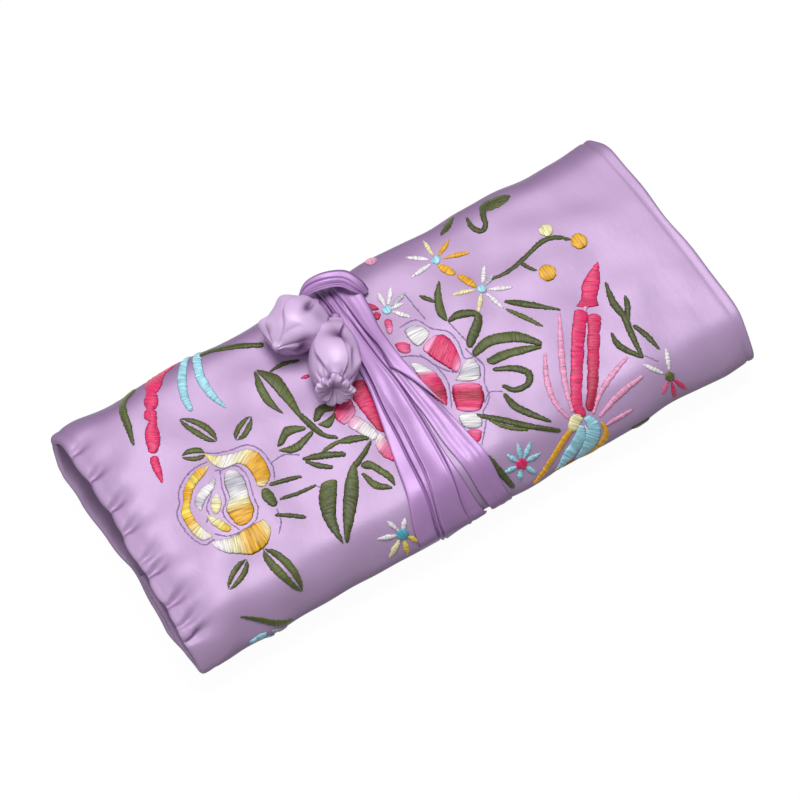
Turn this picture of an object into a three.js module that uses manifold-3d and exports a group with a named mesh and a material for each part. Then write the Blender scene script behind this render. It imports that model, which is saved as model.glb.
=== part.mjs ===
// Padded satin jewelry roll, rolled in thirds and tied with two ribbons that end in rosebuds.
// Millimetres. X runs along the roll, Y across it, Z up. Z = 0 is the face it lies on.
import * as THREE from 'three';
import Module from 'manifold-3d';

const wasm = await Module();
wasm.setup();
const { Manifold, Mesh: ManifoldMesh } = wasm;

// Driving dimensions.
const LENGTH = 200;
const HALF = LENGTH / 2;
const ROLL_HALF_WIDTH = 46;
const FAR_BELLY = 0.735;
const ROLL_HEIGHT = 25;
const LAYER = 2.4;
const SHELL = 0.5;
const LINING = 0.4;
const SKIN_GAP = 0.05;
const CUT = 0.15;
const LIP = 2;
const BEND_BULGE = 1.5;
const CROWN = 2;
const FOLD_REACH = 10;
const FREE_EDGE_Y = -44;
const EDGE_RISE = 0.8;
const FOLD_RISE = 1.2;
const RISE_START_FAR = 28;
const RISE_START_NEAR = -38;
const TIP_Y = 0.5;
const FLAP_Z = 3.2;

// Ribbon tie.
const RIBBON = 0.5;
const RIBBON_GAP = 0.22;
const PLEAT_HEIGHT = 0.7;
const LEFT_PLEATS = 3;
const RIGHT_PLEATS = 1;
const COLUMNS_PER_PLEAT = 4;
const GROOVE_ROOF = 1.15;
const GROOVE_LEFT = -26;
const GROOVE_RIGHT = 14.5;
const GROOVE_SLOPE = 2;

const BUD_SIDES = 40;
const BUD_FOLDS = 10;
const BUD_GATHER = 0.08;
const BUD_FLATTENED = 0.85;
const BUD_STEM = 0.2;
const KNOT_RADIUS = 2.25;
const FAR_BUD = { length: 19, radius: 8 };
const NEAR_BUD = { length: 26, radius: 7 };

// Pockets: each sheet stands SHEET_INSET inside the panel's ends, on a sewn rim.
const SEWN_GAP = 0.05;
const SHEET_INSET = 8;
const SHEET_HALF_LENGTH = HALF - SHEET_INSET;
const SHEET_TOP = 0.95;
const SHEET_THICK = 0.42;
const SHEET_RIM = 2;

// Zips. Heights are above the lining that the zip is sewn to.
const TAPE_INSET = 13;
const TAPE_OVERLAP = 4;
const TAPE_LENGTH = 2 * (SHEET_HALF_LENGTH - TAPE_INSET);
const TAPE_WIDTH = 10;
const TAPE = 0.35;
const TAPE_GAP = 0.1;
const TAPE_SLIT_HALF = 0.9;
const SLOT_LENGTH = TAPE_LENGTH - 2 * TAPE_OVERLAP;
const SLOT_WIDTH = 6.4;
const COMB_INSET = 2;
const COMB_SPINE = [1.1, 1.8];
const COMB_DEPTH = 1;
const TOOTH_TIP = -0.6;
const TOOTH_PITCH = 4;
const TOOTH_WIDTH = 1.4;
const TOOTH_LEAD = 0.6;
const TEETH_TOP = 1.5;
const SLIDER_INSET = 7;
const SLIDER_X = SLIDER_INSET - SLOT_LENGTH / 2;
const SLIDER_LENGTH = 8.5;
const SLIDER_HALF_WIDTH = 2.8;
const SLIDER_PLATE = 0.8;
const SLIDER_CLEAR = 0.2;
const FLANGE = 0.65;
const FLANGE_DROP = 0.4;
const EAR_HALF_LENGTH = 1.4;
const EAR_INNER = 1.7;
const EAR_OUTER = 2.5;
const EAR_OVER_PIN = 0.9;
const PIN_HEIGHT = 4.2;
const PIN_RADIUS = 0.6;
const EYE_RADIUS = 1.3;
const EYE_BORE = 0.75;
const EYE_HALF_WIDTH = 1.35;
const PULL_LENGTH = 15;
const PULL_START = 0.9;
const PULL_HALF_WIDTH = 2.3;
const PULL_HALF_THICK = 0.4;
const PULL_NECK = 2.4;
const ZIP_C_Y = 14;
const ZIP_B_FAR_Y = 26;
const ZIP_B_MID_Y = 4;

// Ring bar: a stuffed tube on the flap's lining, with a sewn tab and a snap.
const BAR_RADIUS = 6.2;
const BAR_ROUND = 3;
const BAR_CLEAR = 0.3;
const BAR_START = -HALF * 0.6;
const BAR_END = HALF * 0.7;
const BAR_Y = -10;
const ANCHOR_LENGTH = 9;
const ANCHOR_THICK = 0.45;
const ANCHOR_LIP = 0.5;
const ANCHOR_RISE = 0.95;
const STRAP_HALF_WIDTH = 5;
const STRAP = 0.5;
const TAB_HALF_WIDTH = 4;
const SNAP_X = BAR_END + 12;
const SNAP_TAIL = 7;
const SNAP_RADIUS = 3.6;
const STUD_RADIUS = 1.5;
const SOCKET_BORE = 1.8;

// Places on the roll's section, as [y, z] on the outer face.
const SECTION = {
  edge: [FREE_EDGE_Y, EDGE_RISE],
  far1: [ROLL_HALF_WIDTH - FOLD_REACH, FOLD_RISE],
  far2: [ROLL_HALF_WIDTH + FAR_BELLY, ROLL_HEIGHT * 0.47],
  far3: [ROLL_HALF_WIDTH - FOLD_REACH, ROLL_HEIGHT - CROWN],
  near1: [-(ROLL_HALF_WIDTH - FOLD_REACH), ROLL_HEIGHT - CROWN],
  near2: [-ROLL_HALF_WIDTH, ROLL_HEIGHT * 0.49],
  near3: [-(ROLL_HALF_WIDTH - FOLD_REACH + 2), FLAP_Z],
  tip: [TIP_Y, FLAP_Z],
};

const group = new THREE.Group();
group.name = 'jewelry_roll';

function material(name, color, roughness, metalness = 0) {
  const m = new THREE.MeshStandardMaterial({ color, roughness, metalness });
  m.name = name;
  return m;
}

const MAT = {
  satin: material('lilac_satin', 0xc8b0d6, 0.45),
  pad: material('wadding', 0xf1eef0, 0.95),
  lining: material('lining_satin', 0xb89cc9, 0.5),
  pocket: material('pocket_satin', 0xc4aad4, 0.5),
  ribbon: material('ribbon_satin', 0xcbb2e0, 0.35),
  tape: material('zip_tape', 0xa98cbd, 0.8),
  teeth: material('zip_teeth', 0xd8cbe0, 0.4),
  metal: material('gold_metal', 0xd4b36a, 0.3, 1),
};

function add(name, geometry, mat) {
  const clean = geometry.index ? geometry : geometry.clone();
  clean.computeVertexNormals();
  const mesh = new THREE.Mesh(clean, mat);
  mesh.name = name;
  group.add(mesh);
  return mesh;
}

function signedVolume(points, faces) {
  let volume = 0;
  for (const [a, b, c] of faces) {
    const [p, q, r] = [points[a], points[b], points[c]];
    volume += p[0] * (q[1] * r[2] - q[2] * r[1]);
    volume -= p[1] * (q[0] * r[2] - q[2] * r[0]);
    volume += p[2] * (q[0] * r[1] - q[1] * r[0]);
  }
  return volume / 6;
}

function toGeometry(points, faces) {
  const outward = signedVolume(points, faces) > 0;
  const geometry = new THREE.BufferGeometry();
  geometry.setAttribute('position', new THREE.Float32BufferAttribute(points.flat(), 3));
  geometry.setIndex(faces.flatMap(([a, b, c]) => (outward ? [a, b, c] : [a, c, b])));
  return geometry;
}

// A closed slab between two skins. place(i, j, side) gives a point, side 0 or 1.
function slab(columns, rows, place) {
  const points = [];
  const id = (i, j, side) => (side * (columns + 1) + i) * (rows + 1) + j;
  for (let side = 0; side < 2; side++) {
    for (let i = 0; i <= columns; i++) {
      for (let j = 0; j <= rows; j++) points.push(place(i, j, side));
    }
  }
  const faces = [];
  const quad = (a, b, c, d) => faces.push([a, b, c], [a, c, d]);
  for (let i = 0; i < columns; i++) {
    for (let j = 0; j < rows; j++) {
      quad(id(i, j, 0), id(i, j + 1, 0), id(i + 1, j + 1, 0), id(i + 1, j, 0));
      quad(id(i, j, 1), id(i + 1, j, 1), id(i + 1, j + 1, 1), id(i, j + 1, 1));
    }
    quad(id(i, 0, 0), id(i + 1, 0, 0), id(i + 1, 0, 1), id(i, 0, 1));
    quad(id(i, rows, 0), id(i, rows, 1), id(i + 1, rows, 1), id(i + 1, rows, 0));
  }
  for (let j = 0; j < rows; j++) {
    quad(id(0, j, 0), id(0, j, 1), id(0, j + 1, 1), id(0, j + 1, 0));
    quad(id(columns, j, 0), id(columns, j + 1, 0), id(columns, j + 1, 1), id(columns, j, 1));
  }
  return toGeometry(points, faces);
}

function toManifold(geometry) {
  const source = geometry.index ? geometry : null;
  const position = geometry.attributes.position;
  const keys = new Map();
  const vertices = [];
  const indices = [];
  const count = source ? source.index.count : position.count;
  for (let k = 0; k < count; k++) {
    const v = source ? source.index.getX(k) : k;
    const p = [position.getX(v), position.getY(v), position.getZ(v)];
    const key = p.map((c) => Math.round(c * 1e5)).join();
    if (!keys.has(key)) {
      keys.set(key, vertices.length / 3);
      vertices.push(...p);
    }
    indices.push(keys.get(key));
  }
  const kept = [];
  for (let k = 0; k < indices.length; k += 3) {
    const [a, b, c] = indices.slice(k, k + 3);
    if (a !== b && b !== c && a !== c) kept.push(a, b, c);
  }
  return new Manifold(new ManifoldMesh({
    numProp: 3,
    vertProperties: new Float32Array(vertices),
    triVerts: new Uint32Array(kept),
  }));
}

function fromManifold(solid) {
  const mesh = solid.getMesh();
  const geometry = new THREE.BufferGeometry();
  geometry.setAttribute('position', new THREE.Float32BufferAttribute(Array.from(mesh.vertProperties), 3));
  geometry.setIndex(Array.from(mesh.triVerts));
  return geometry;
}

function cut(base, ...tools) {
  let solid = toManifold(base);
  for (const tool of tools) solid = solid.subtract(toManifold(tool));
  return fromManifold(solid);
}

function join(...parts) {
  let solid = toManifold(parts[0]);
  for (const part of parts.slice(1)) solid = solid.add(toManifold(part));
  return fromManifold(solid);
}

function box(x0, x1, y0, y1, z0, z1) {
  const geometry = new THREE.BoxGeometry(x1 - x0, y1 - y0, z1 - z0);
  geometry.translate((x0 + x1) / 2, (y0 + y1) / 2, (z0 + z1) / 2);
  return geometry;
}

// Straight-through interpolation in a table of [key, value] rows.
function lookup(table, key) {
  if (key <= table[0][0]) return table[0][1];
  for (let k = 1; k < table.length; k++) {
    if (key <= table[k][0]) {
      const t = (key - table[k - 1][0]) / (table[k][0] - table[k - 1][0]);
      return table[k - 1][1] + t * (table[k][1] - table[k - 1][1]);
    }
  }
  return table[table.length - 1][1];
}

// One length of the roll's section. place(s, off) is the point at share s and depth off.
function slat(start, end, bulge, turnBefore, turnAfter) {
  const dy = end[0] - start[0];
  const dz = end[1] - start[1];
  const length = Math.hypot(dy, dz);
  const along = [dy / length, dz / length];
  const inward = [-along[1], along[0]];
  const skew0 = Math.tan(turnBefore / 2);
  const skew1 = Math.tan(turnAfter / 2);
  const back0 = turnBefore ? CUT / Math.cos(turnBefore / 2) : 0;
  const back1 = turnAfter ? CUT / Math.cos(turnAfter / 2) : 0;
  const place = (s, off) => {
    const first = back0 + Math.max(off, 0) * skew0;
    const last = length - back1 - Math.max(off, 0) * skew1;
    const d = first + s * (last - first);
    const depth = off - 4 * bulge * s * (1 - s);
    return [
      start[0] + along[0] * d + inward[0] * depth,
      start[1] + along[1] * d + inward[1] * depth,
    ];
  };
  return { place };
}

function heading(start, end) {
  return Math.atan2(end[1] - start[1], end[0] - start[0]);
}

const CHAIN = ['edge', 'far1', 'far2', 'far3', 'near1', 'near2', 'near3', 'tip'].map((k) => SECTION[k]);
const TURNS = [];
for (let k = 1; k < CHAIN.length - 1; k++) {
  const before = k === 1 ? 0 : heading(CHAIN[k - 1], CHAIN[k]);
  let turn = heading(CHAIN[k], CHAIN[k + 1]) - before;
  while (turn < 0) turn += 2 * Math.PI;
  TURNS.push(turn);
}
console.log('fold turns in degrees', TURNS.map((t) => (t * 180 / Math.PI).toFixed(3)).join(' '));

// The bottom panel's outer face is flat, with a small rise towards both long edges.
function baseRise(y) {
  const far = Math.max(0, y - RISE_START_FAR) / (SECTION.far1[0] - RISE_START_FAR);
  const near = Math.max(0, RISE_START_NEAR - y) / (RISE_START_NEAR - FREE_EDGE_Y);
  return FOLD_RISE * far * far + EDGE_RISE * near * near;
}

function grooveShare(x) {
  const left = Math.min(Math.max((x - GROOVE_LEFT) / GROOVE_SLOPE, 0), 1);
  const right = Math.min(Math.max((GROOVE_RIGHT - x) / GROOVE_SLOPE, 0), 1);
  return Math.min(left, right);
}

function grooveDepth(x, y) {
  return grooveShare(x) * Math.max(0, GROOVE_ROOF - baseRise(y));
}

// Inside the groove the shell rises and the wadding above it is pressed thin.
const baseSlat = {
  place: (s, off, x = 0) => {
    const first = FREE_EDGE_Y;
    const last = SECTION.far1[0] - CUT / Math.cos(TURNS[0] / 2) - off * Math.tan(TURNS[0] / 2);
    const y = first + s * (last - first);
    const lift = off <= SHELL + SKIN_GAP ? grooveDepth(x, y) : 0;
    return [y, baseRise(y) + off + lift];
  },
};

const SLATS = {
  base: baseSlat,
  far_low: slat(CHAIN[1], CHAIN[2], BEND_BULGE, TURNS[0], TURNS[1]),
  far_high: slat(CHAIN[2], CHAIN[3], BEND_BULGE, TURNS[1], TURNS[2]),
  top: slat(CHAIN[3], CHAIN[4], CROWN, TURNS[2], TURNS[3]),
  near_high: slat(CHAIN[4], CHAIN[5], BEND_BULGE, TURNS[3], TURNS[4]),
  near_low: slat(CHAIN[5], CHAIN[6], BEND_BULGE, TURNS[4], TURNS[5]),
  flap: slat(CHAIN[6], CHAIN[7], 0, TURNS[5], 0),
};

function range(a, b, n) {
  return Array.from({ length: n + 1 }, (_, k) => a + (b - a) * k / n);
}

function layer(piece, xs, shares, low, high) {
  return slab(xs.length - 1, shares.length - 1, (i, j, side) => {
    const off = side ? high : low;
    const [y, z] = piece.place(shares[j], off, xs[i]);
    return [xs[i], y, z];
  });
}

function xStations(half) {
  const groove = [GROOVE_LEFT, GROOVE_LEFT + GROOVE_SLOPE, GROOVE_RIGHT - GROOVE_SLOPE, GROOVE_RIGHT];
  return [-half, ...groove, half];
}

const SHARES = {
  base: [0, 0.035, 0.075, 0.5, 0.9, 0.95, 1],
  far_low: range(0, 1, 4),
  far_high: range(0, 1, 4),
  top: range(0, 1, 10),
  near_high: range(0, 1, 4),
  near_low: range(0, 1, 4),
  flap: [0, 0.5, 1],
};

// Shell with lips turned in round its edges, then wadding and lining inside it.
function paddedPanel(name, hasPad, endLips) {
  const piece = SLATS[name];
  const shares = SHARES[name];
  const xs = name === 'base' ? xStations(HALF) : [-HALF, HALF];
  const inner = name === 'base' ? xStations(HALF - LIP) : [-HALF + LIP, HALF - LIP];
  const wide = shares.slice(1, -1);
  wide.unshift(...(endLips.first ? [endLips.first] : [-0.05, 0]));
  wide.push(...(endLips.last ? [1 - endLips.last] : [1, 1.05]));
  const hollow = layer(piece, inner, wide, SHELL, LAYER + 0.6);
  add(`${name}_shell`, cut(layer(piece, xs, shares, 0, LAYER), hollow), MAT.satin);
  const clear = (s) => s.map((v, k) => {
    if (k === 0) return endLips.first ? endLips.first + 0.002 : 0;
    if (k === s.length - 1) return endLips.last ? 1 - endLips.last - 0.002 : 1;
    return v;
  });
  const packXs = inner.map((x, k) => (k === 0 ? x + 0.1 : k === inner.length - 1 ? x - 0.1 : x));
  const liningLow = hasPad ? LAYER - LINING : SHELL + SKIN_GAP;
  if (hasPad) {
    add(`${name}_wadding`, layer(piece, packXs, clear(shares), SHELL + SKIN_GAP, LAYER - LINING - SKIN_GAP), MAT.pad);
  }
  add(`${name}_lining`, layer(piece, packXs, clear(shares), liningLow, LAYER), MAT.lining);
}

paddedPanel('base', true, { first: 0.03 });
paddedPanel('far_low', false, {});
paddedPanel('far_high', false, {});
paddedPanel('top', true, {});
paddedPanel('near_high', false, {});
paddedPanel('near_low', false, {});
paddedPanel('flap', true, { last: 0.05 });

// The share of a panel's width at which its lining's face is at y.
function shareAt(panel, y) {
  const distance = (s) => Math.abs(SLATS[panel].place(s, LAYER)[0] - y);
  return range(0, 1, 2000).reduce((best, s) => (distance(s) < distance(best) ? s : best));
}

// A place on a lining: origin, direction across and direction out of the lining.
function seat(panel, y) {
  const share = shareAt(panel, y);
  const [y0, z0] = SLATS[panel].place(share, LAYER);
  const [y1, z1] = SLATS[panel].place(share + 1e-3, LAYER);
  const reach = Math.hypot(y1 - y0, z1 - z0);
  const across = [(y1 - y0) / reach, (z1 - z0) / reach];
  return { y: y0, z: z0, across, out: [-across[1], across[0]] };
}

function putOn(place, geometry) {
  const m = new THREE.Matrix4().set(
    1, 0, 0, 0,
    0, place.across[0], place.out[0], place.y,
    0, place.across[1], place.out[1], place.z,
    0, 0, 0, 1,
  );
  return geometry.clone().applyMatrix4(m);
}

// Pocket front: a flat sheet with a rim that sits on the lining and a slot for the zip.
function pocketSheet(name, panel, yLow, yHigh, zipY) {
  const piece = SLATS[panel];
  const [a, b] = [shareAt(panel, yLow), shareAt(panel, yHigh)].sort((p, q) => p - q);
  const inset = (b - a) * SHEET_RIM / Math.abs(yHigh - yLow);
  const sheetXs = [-SHEET_HALF_LENGTH, SHEET_HALF_LENGTH];
  const body = layer(piece, sheetXs, range(a, b, 6), LAYER + SEWN_GAP, LAYER + SHEET_TOP);
  const hollowXs = sheetXs.map((x) => x - Math.sign(x) * SHEET_RIM);
  const under = LAYER + SHEET_TOP - SHEET_THICK;
  const hollow = layer(piece, hollowXs, range(a + inset, b - inset, 6), LAYER - LINING, under);
  const slot = box(-SLOT_LENGTH / 2, SLOT_LENGTH / 2, -SLOT_WIDTH / 2, SLOT_WIDTH / 2, -1, 2 * LAYER);
  add(name, cut(body, hollow, putOn(seat(panel, zipY), slot)), MAT.pocket);
}

const SEAM = 1.5;
pocketSheet('base_pocket', 'base', TIP_Y + 2, RISE_START_FAR - 0.2, ZIP_C_Y);
pocketSheet('top_far_pocket', 'top', ZIP_B_FAR_Y - 12, SECTION.far3[0] - SEAM, ZIP_B_FAR_Y);
pocketSheet('top_near_pocket', 'top', SECTION.near1[0] + 2 * SEAM, ZIP_B_FAR_Y - 14, ZIP_B_MID_Y);

// One half of a zip's chain: a spine with a row of teeth that stand between the other half's.
function combRow(side) {
  const shape = new THREE.Shape();
  const start = COMB_INSET - SLOT_LENGTH / 2;
  const end = -start;
  const count = Math.floor((end - start - COMB_INSET) / TOOTH_PITCH);
  const offset = side > 0 ? TOOTH_LEAD : TOOTH_LEAD + TOOTH_PITCH / 2;
  const [root, back] = COMB_SPINE;
  shape.moveTo(start, root);
  for (let k = 0; k < count; k++) {
    const x = start + offset + k * TOOTH_PITCH;
    shape.lineTo(x, root);
    shape.lineTo(x, TOOTH_TIP);
    shape.lineTo(x + TOOTH_WIDTH, TOOTH_TIP);
    shape.lineTo(x + TOOTH_WIDTH, root);
  }
  shape.lineTo(end, root);
  shape.lineTo(end, back);
  shape.lineTo(start, back);
  const geometry = new THREE.ExtrudeGeometry(shape, { depth: COMB_DEPTH, bevelEnabled: false });
  if (side < 0) geometry.rotateX(Math.PI).translate(0, 0, COMB_DEPTH);
  geometry.translate(0, 0, TEETH_TOP - COMB_DEPTH);
  return geometry;
}

function cylinderY(radius, halfWidth, segments = 16) {
  const geometry = new THREE.CylinderGeometry(radius, radius, 2 * halfWidth, segments);
  geometry.translate(SLIDER_X, 0, PIN_HEIGHT);
  return geometry;
}

function slider() {
  const nose = SLIDER_X - SLIDER_LENGTH / 2;
  const tail = SLIDER_X + SLIDER_LENGTH / 2;
  const plateLow = TEETH_TOP + SLIDER_CLEAR;
  const plateHigh = plateLow + SLIDER_PLATE;
  const sideLow = SLIDER_HALF_WIDTH - FLANGE;
  const flange = box(nose, tail, sideLow, SLIDER_HALF_WIDTH, TEETH_TOP - FLANGE_DROP, plateHigh - SLIDER_CLEAR);
  const earEnds = [SLIDER_X - EAR_HALF_LENGTH, SLIDER_X + EAR_HALF_LENGTH];
  const ear = box(...earEnds, EAR_INNER, EAR_OUTER, plateHigh - SLIDER_CLEAR, PIN_HEIGHT + EAR_OVER_PIN);
  return join(
    box(nose, tail, -SLIDER_HALF_WIDTH, SLIDER_HALF_WIDTH, plateLow, plateHigh),
    flange,
    flange.clone().translate(0, FLANGE - 2 * SLIDER_HALF_WIDTH, 0),
    ear,
    ear.clone().translate(0, -EAR_INNER - EAR_OUTER, 0),
    cylinderY(PIN_RADIUS, (EAR_INNER + EAR_OUTER) / 2 - 0.1),
  );
}

// The pull turns on the slider's pin: an eye with a plate that is narrow between the ears.
function pull() {
  const thick = [PIN_HEIGHT - PULL_HALF_THICK, PIN_HEIGHT + PULL_HALF_THICK];
  const plate = box(SLIDER_X + PULL_START, SLIDER_X + PULL_LENGTH, -PULL_HALF_WIDTH, PULL_HALF_WIDTH, ...thick);
  const neckEnds = [SLIDER_X - 2 * EYE_RADIUS, SLIDER_X + PULL_NECK];
  const beside = box(...neckEnds, EYE_HALF_WIDTH, EYE_HALF_WIDTH + PULL_HALF_WIDTH, 0, 2 * PIN_HEIGHT);
  return cut(
    join(cylinderY(EYE_RADIUS, EYE_HALF_WIDTH, 20), plate),
    cylinderY(EYE_BORE, 2 * EYE_HALF_WIDTH, 20),
    beside,
    beside.clone().translate(0, -2 * EYE_HALF_WIDTH - PULL_HALF_WIDTH, 0),
  );
}

function zip(name, place) {
  const [tapeX, slotX] = [TAPE_LENGTH / 2, SLOT_LENGTH / 2];
  const tape = cut(
    box(-tapeX, tapeX, -TAPE_WIDTH / 2, TAPE_WIDTH / 2, TAPE_GAP, TAPE_GAP + TAPE),
    box(-slotX, slotX, -TAPE_SLIT_HALF, TAPE_SLIT_HALF, -1, LAYER),
  );
  add(`${name}_tape`, putOn(place, tape), MAT.tape);
  add(`${name}_teeth_far`, putOn(place, combRow(1)), MAT.teeth);
  add(`${name}_teeth_near`, putOn(place, combRow(-1)), MAT.teeth);
  add(`${name}_slider`, putOn(place, slider()), MAT.metal);
  add(`${name}_pull`, putOn(place, pull()), MAT.metal);
}

const zipSeats = {
  base_zip: seat('base', ZIP_C_Y),
  top_far_zip: seat('top', ZIP_B_FAR_Y),
  top_near_zip: seat('top', ZIP_B_MID_Y),
};
for (const [name, place] of Object.entries(zipSeats)) {
  zip(name, place);
  const pin = [place.y + place.out[0] * PIN_HEIGHT, place.z + place.out[1] * PIN_HEIGHT];
  console.log(name, 'pin', pin.map((v) => v.toFixed(4)).join(' '), 'across', place.across.map((v) => v.toFixed(5)).join(' '));
}

// Ring bar: a stuffed tube sewn at one end and held by a snap at the other.
const flapTop = FLAP_Z + LAYER;
const sewnTo = flapTop + SEWN_GAP;
const barZ = flapTop + BAR_CLEAR + BAR_RADIUS;
const flat = BAR_RADIUS - BAR_ROUND;
const barProfile = [new THREE.Vector2(0, BAR_START)];
for (const a of range(0, Math.PI / 2, 4)) {
  barProfile.push(new THREE.Vector2(flat + BAR_ROUND * Math.sin(a), BAR_START + BAR_ROUND * (1 - Math.cos(a))));
}
for (const a of range(0, Math.PI / 2, 4)) {
  barProfile.push(new THREE.Vector2(flat + BAR_ROUND * Math.cos(a), BAR_END - BAR_ROUND * (1 - Math.sin(a))));
}
barProfile.push(new THREE.Vector2(0, BAR_END));
const bar = new THREE.LatheGeometry(barProfile, 24);
bar.rotateZ(-Math.PI / 2);
bar.translate(0, BAR_Y, barZ);
add('ring_bar', fromManifold(toManifold(bar)), MAT.pocket);

const anchorX = BAR_START - 2;
const anchorEnd = anchorX + 0.2;
const anchorSides = [BAR_Y - STRAP_HALF_WIDTH, BAR_Y + STRAP_HALF_WIDTH];
add('ring_bar_anchor', join(
  box(anchorX - ANCHOR_LENGTH, anchorEnd, ...anchorSides, sewnTo, sewnTo + ANCHOR_THICK),
  box(anchorEnd - ANCHOR_LIP, anchorEnd, ...anchorSides, sewnTo, sewnTo + ANCHOR_RISE),
), MAT.pocket);

function bandAlong(path, halfWidths, acrosses, thickness) {
  return slab(path.length - 1, 2, (i, j, side) => {
    const w = halfWidths[i] * (j - 1);
    const up = side ? thickness : 0;
    const prev = path[Math.max(i - 1, 0)];
    const next = path[Math.min(i + 1, path.length - 1)];
    const tangent = new THREE.Vector3().subVectors(next, prev).normalize();
    const normal = new THREE.Vector3().crossVectors(tangent, acrosses[i]).normalize();
    const p = path[i].clone().addScaledVector(acrosses[i], w).addScaledVector(normal, up);
    return [p.x, p.y, p.z];
  });
}

function smoothPath(points, count) {
  const curve = new THREE.CatmullRomCurve3(points.map((p) => new THREE.Vector3(...p)));
  return curve.getPoints(count);
}

// A strap's path lies over the bar's middle line, as [x, z] places.
function strap(name, places, count, halfWidth) {
  const path = smoothPath(places.map(([x, z]) => [x, BAR_Y, z]), count);
  const widths = path.map(() => halfWidth);
  const acrosses = path.map(() => new THREE.Vector3(0, 1, 0));
  add(name, bandAlong(path, widths, acrosses, STRAP), MAT.pocket);
}

const strapZ = flapTop + 1.85;
strap('ring_bar_hinge_tab', [
  [anchorEnd + 0.55, flapTop + 1],
  [anchorEnd + 1.3, flapTop + 2.6],
  [BAR_START - 0.3, barZ - BAR_ROUND],
], 4, TAB_HALF_WIDTH);
strap('snap_strap', [
  [BAR_END + 0.8, barZ - BAR_ROUND - 0.2],
  [BAR_END + 1.6, strapZ + 1.8],
  [BAR_END + 4.5, strapZ + 0.1],
  [SNAP_X, strapZ],
  [SNAP_X + SNAP_TAIL, strapZ],
], 12, STRAP_HALF_WIDTH);

function discZ(radius, z0, z1) {
  const geometry = new THREE.CylinderGeometry(radius, radius, z1 - z0, 24);
  geometry.rotateX(Math.PI / 2);
  geometry.translate(SNAP_X, BAR_Y, (z0 + z1) / 2);
  return geometry;
}
const studBase = 0.4;
const socketHigh = [flapTop + 0.6, strapZ - 0.15];
add('snap_stud', join(
  discZ(SNAP_RADIUS, sewnTo, sewnTo + studBase),
  discZ(STUD_RADIUS, sewnTo + studBase / 2, strapZ - 0.3),
), MAT.metal);
add('snap_socket', cut(
  discZ(SNAP_RADIUS, ...socketHigh),
  discZ(SOCKET_BORE, flapTop, strapZ + 1),
), MAT.metal);
const capProfile = [[0, 0], [1.1, 0], [1.08, 0.5], [0.83, 0.85], [0, 1]];
const capPoints = capProfile.map(([r, t]) => new THREE.Vector2(r * SNAP_RADIUS, t));
const cap = new THREE.LatheGeometry(capPoints, 24);
cap.rotateX(Math.PI / 2);
cap.translate(SNAP_X, BAR_Y, strapZ + STRAP + 0.1);
add('snap_cap', fromManifold(toManifold(cap)), MAT.metal);

// Ribbon edges along the turn round the roll. The key is a running station:
// 0..1 under the base, 1..2 and 2..3 up the far side, 3..4 over the top, 4..5 down the near nose.
const LEFT_EDGE = [[0, -23], [1, -10], [3, -9.5], [3.4, -10], [3.5, -10.5], [3.78, -16], [4, -20.5], [5, -23]];
const LEFT_INNER = [[0, 1.6], [1, -1.8], [3, -1.8], [3.5, -1.3], [3.8, -0.8], [4, -1.2], [5, 2]];
const RIGHT_INNER = [[0, 4.2], [1, -1], [3, -1], [3.5, -0.6], [3.8, 0.3], [4, 1.2], [5, 4.2]];
const RIGHT_EDGE = [[0, 11.3], [1, 3], [3, 3], [3.5, 3.8], [3.7, 7], [3.85, 7.8], [4, 8.6], [5, 11.3]];

// Each ribbon is drawn together, so it lies in soft pleats across its width.
function ribbonPiece(name, edges, shares, place, pleats) {
  const columns = pleats ? pleats * COLUMNS_PER_PLEAT : 1;
  add(name, slab(columns, shares.length - 1, (i, j, side) => {
    const across = i / columns;
    const lift = pleats ? PLEAT_HEIGHT * Math.sin(Math.PI * pleats * across) ** 2 : 0;
    const [station, y, z] = place(shares[j], side * RIBBON + lift);
    const left = lookup(edges[0], station);
    const right = lookup(edges[1], station);
    return [left + (right - left) * across, y, z];
  }), MAT.ribbon);
}

function onSlat(piece, from) {
  return (s, height) => {
    const [y, z] = piece.place(s, -(RIBBON_GAP + height));
    return [from + s, y, z];
  };
}

const underBottom = GROOVE_ROOF - RIBBON_GAP - RIBBON;
const under = (s, height) => {
  const y = FREE_EDGE_Y - 0.4 + s * (SECTION.far1[0] - FREE_EDGE_Y + 0.2);
  return [s, y, underBottom + height];
};

// The near run stands from the free edge to the widest place, then lies over the near nose.
const hingeY = FREE_EDGE_Y - 0.8;
const hingeZ = underBottom + RIBBON / 2;
const noseOut = (s, height) => SLATS.near_high.place(1 - s, -(RIBBON_GAP + height));
const kneeShare = 0.4;
const kneeStep = 0.15;
const nearRun = (s, height) => {
  if (s > kneeShare) {
    const t = 0.12 + (s - kneeShare - kneeStep) / (1 - kneeShare - kneeStep) * 0.87;
    return [5 - t, ...noseOut(t, height)];
  }
  const t = s / kneeShare;
  const top = [SECTION.near2[0] - RIBBON_GAP - height, SECTION.near2[1]];
  const foot = [hingeY + RIBBON / 2 - height, hingeZ - 0.2];
  return [5, foot[0] + t * (top[0] - foot[0]), foot[1] + t * (top[1] - foot[1])];
};
const NEAR_SHARES = [0, kneeShare / 2, kneeShare, ...range(kneeShare + kneeStep, 1, 4)];

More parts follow.
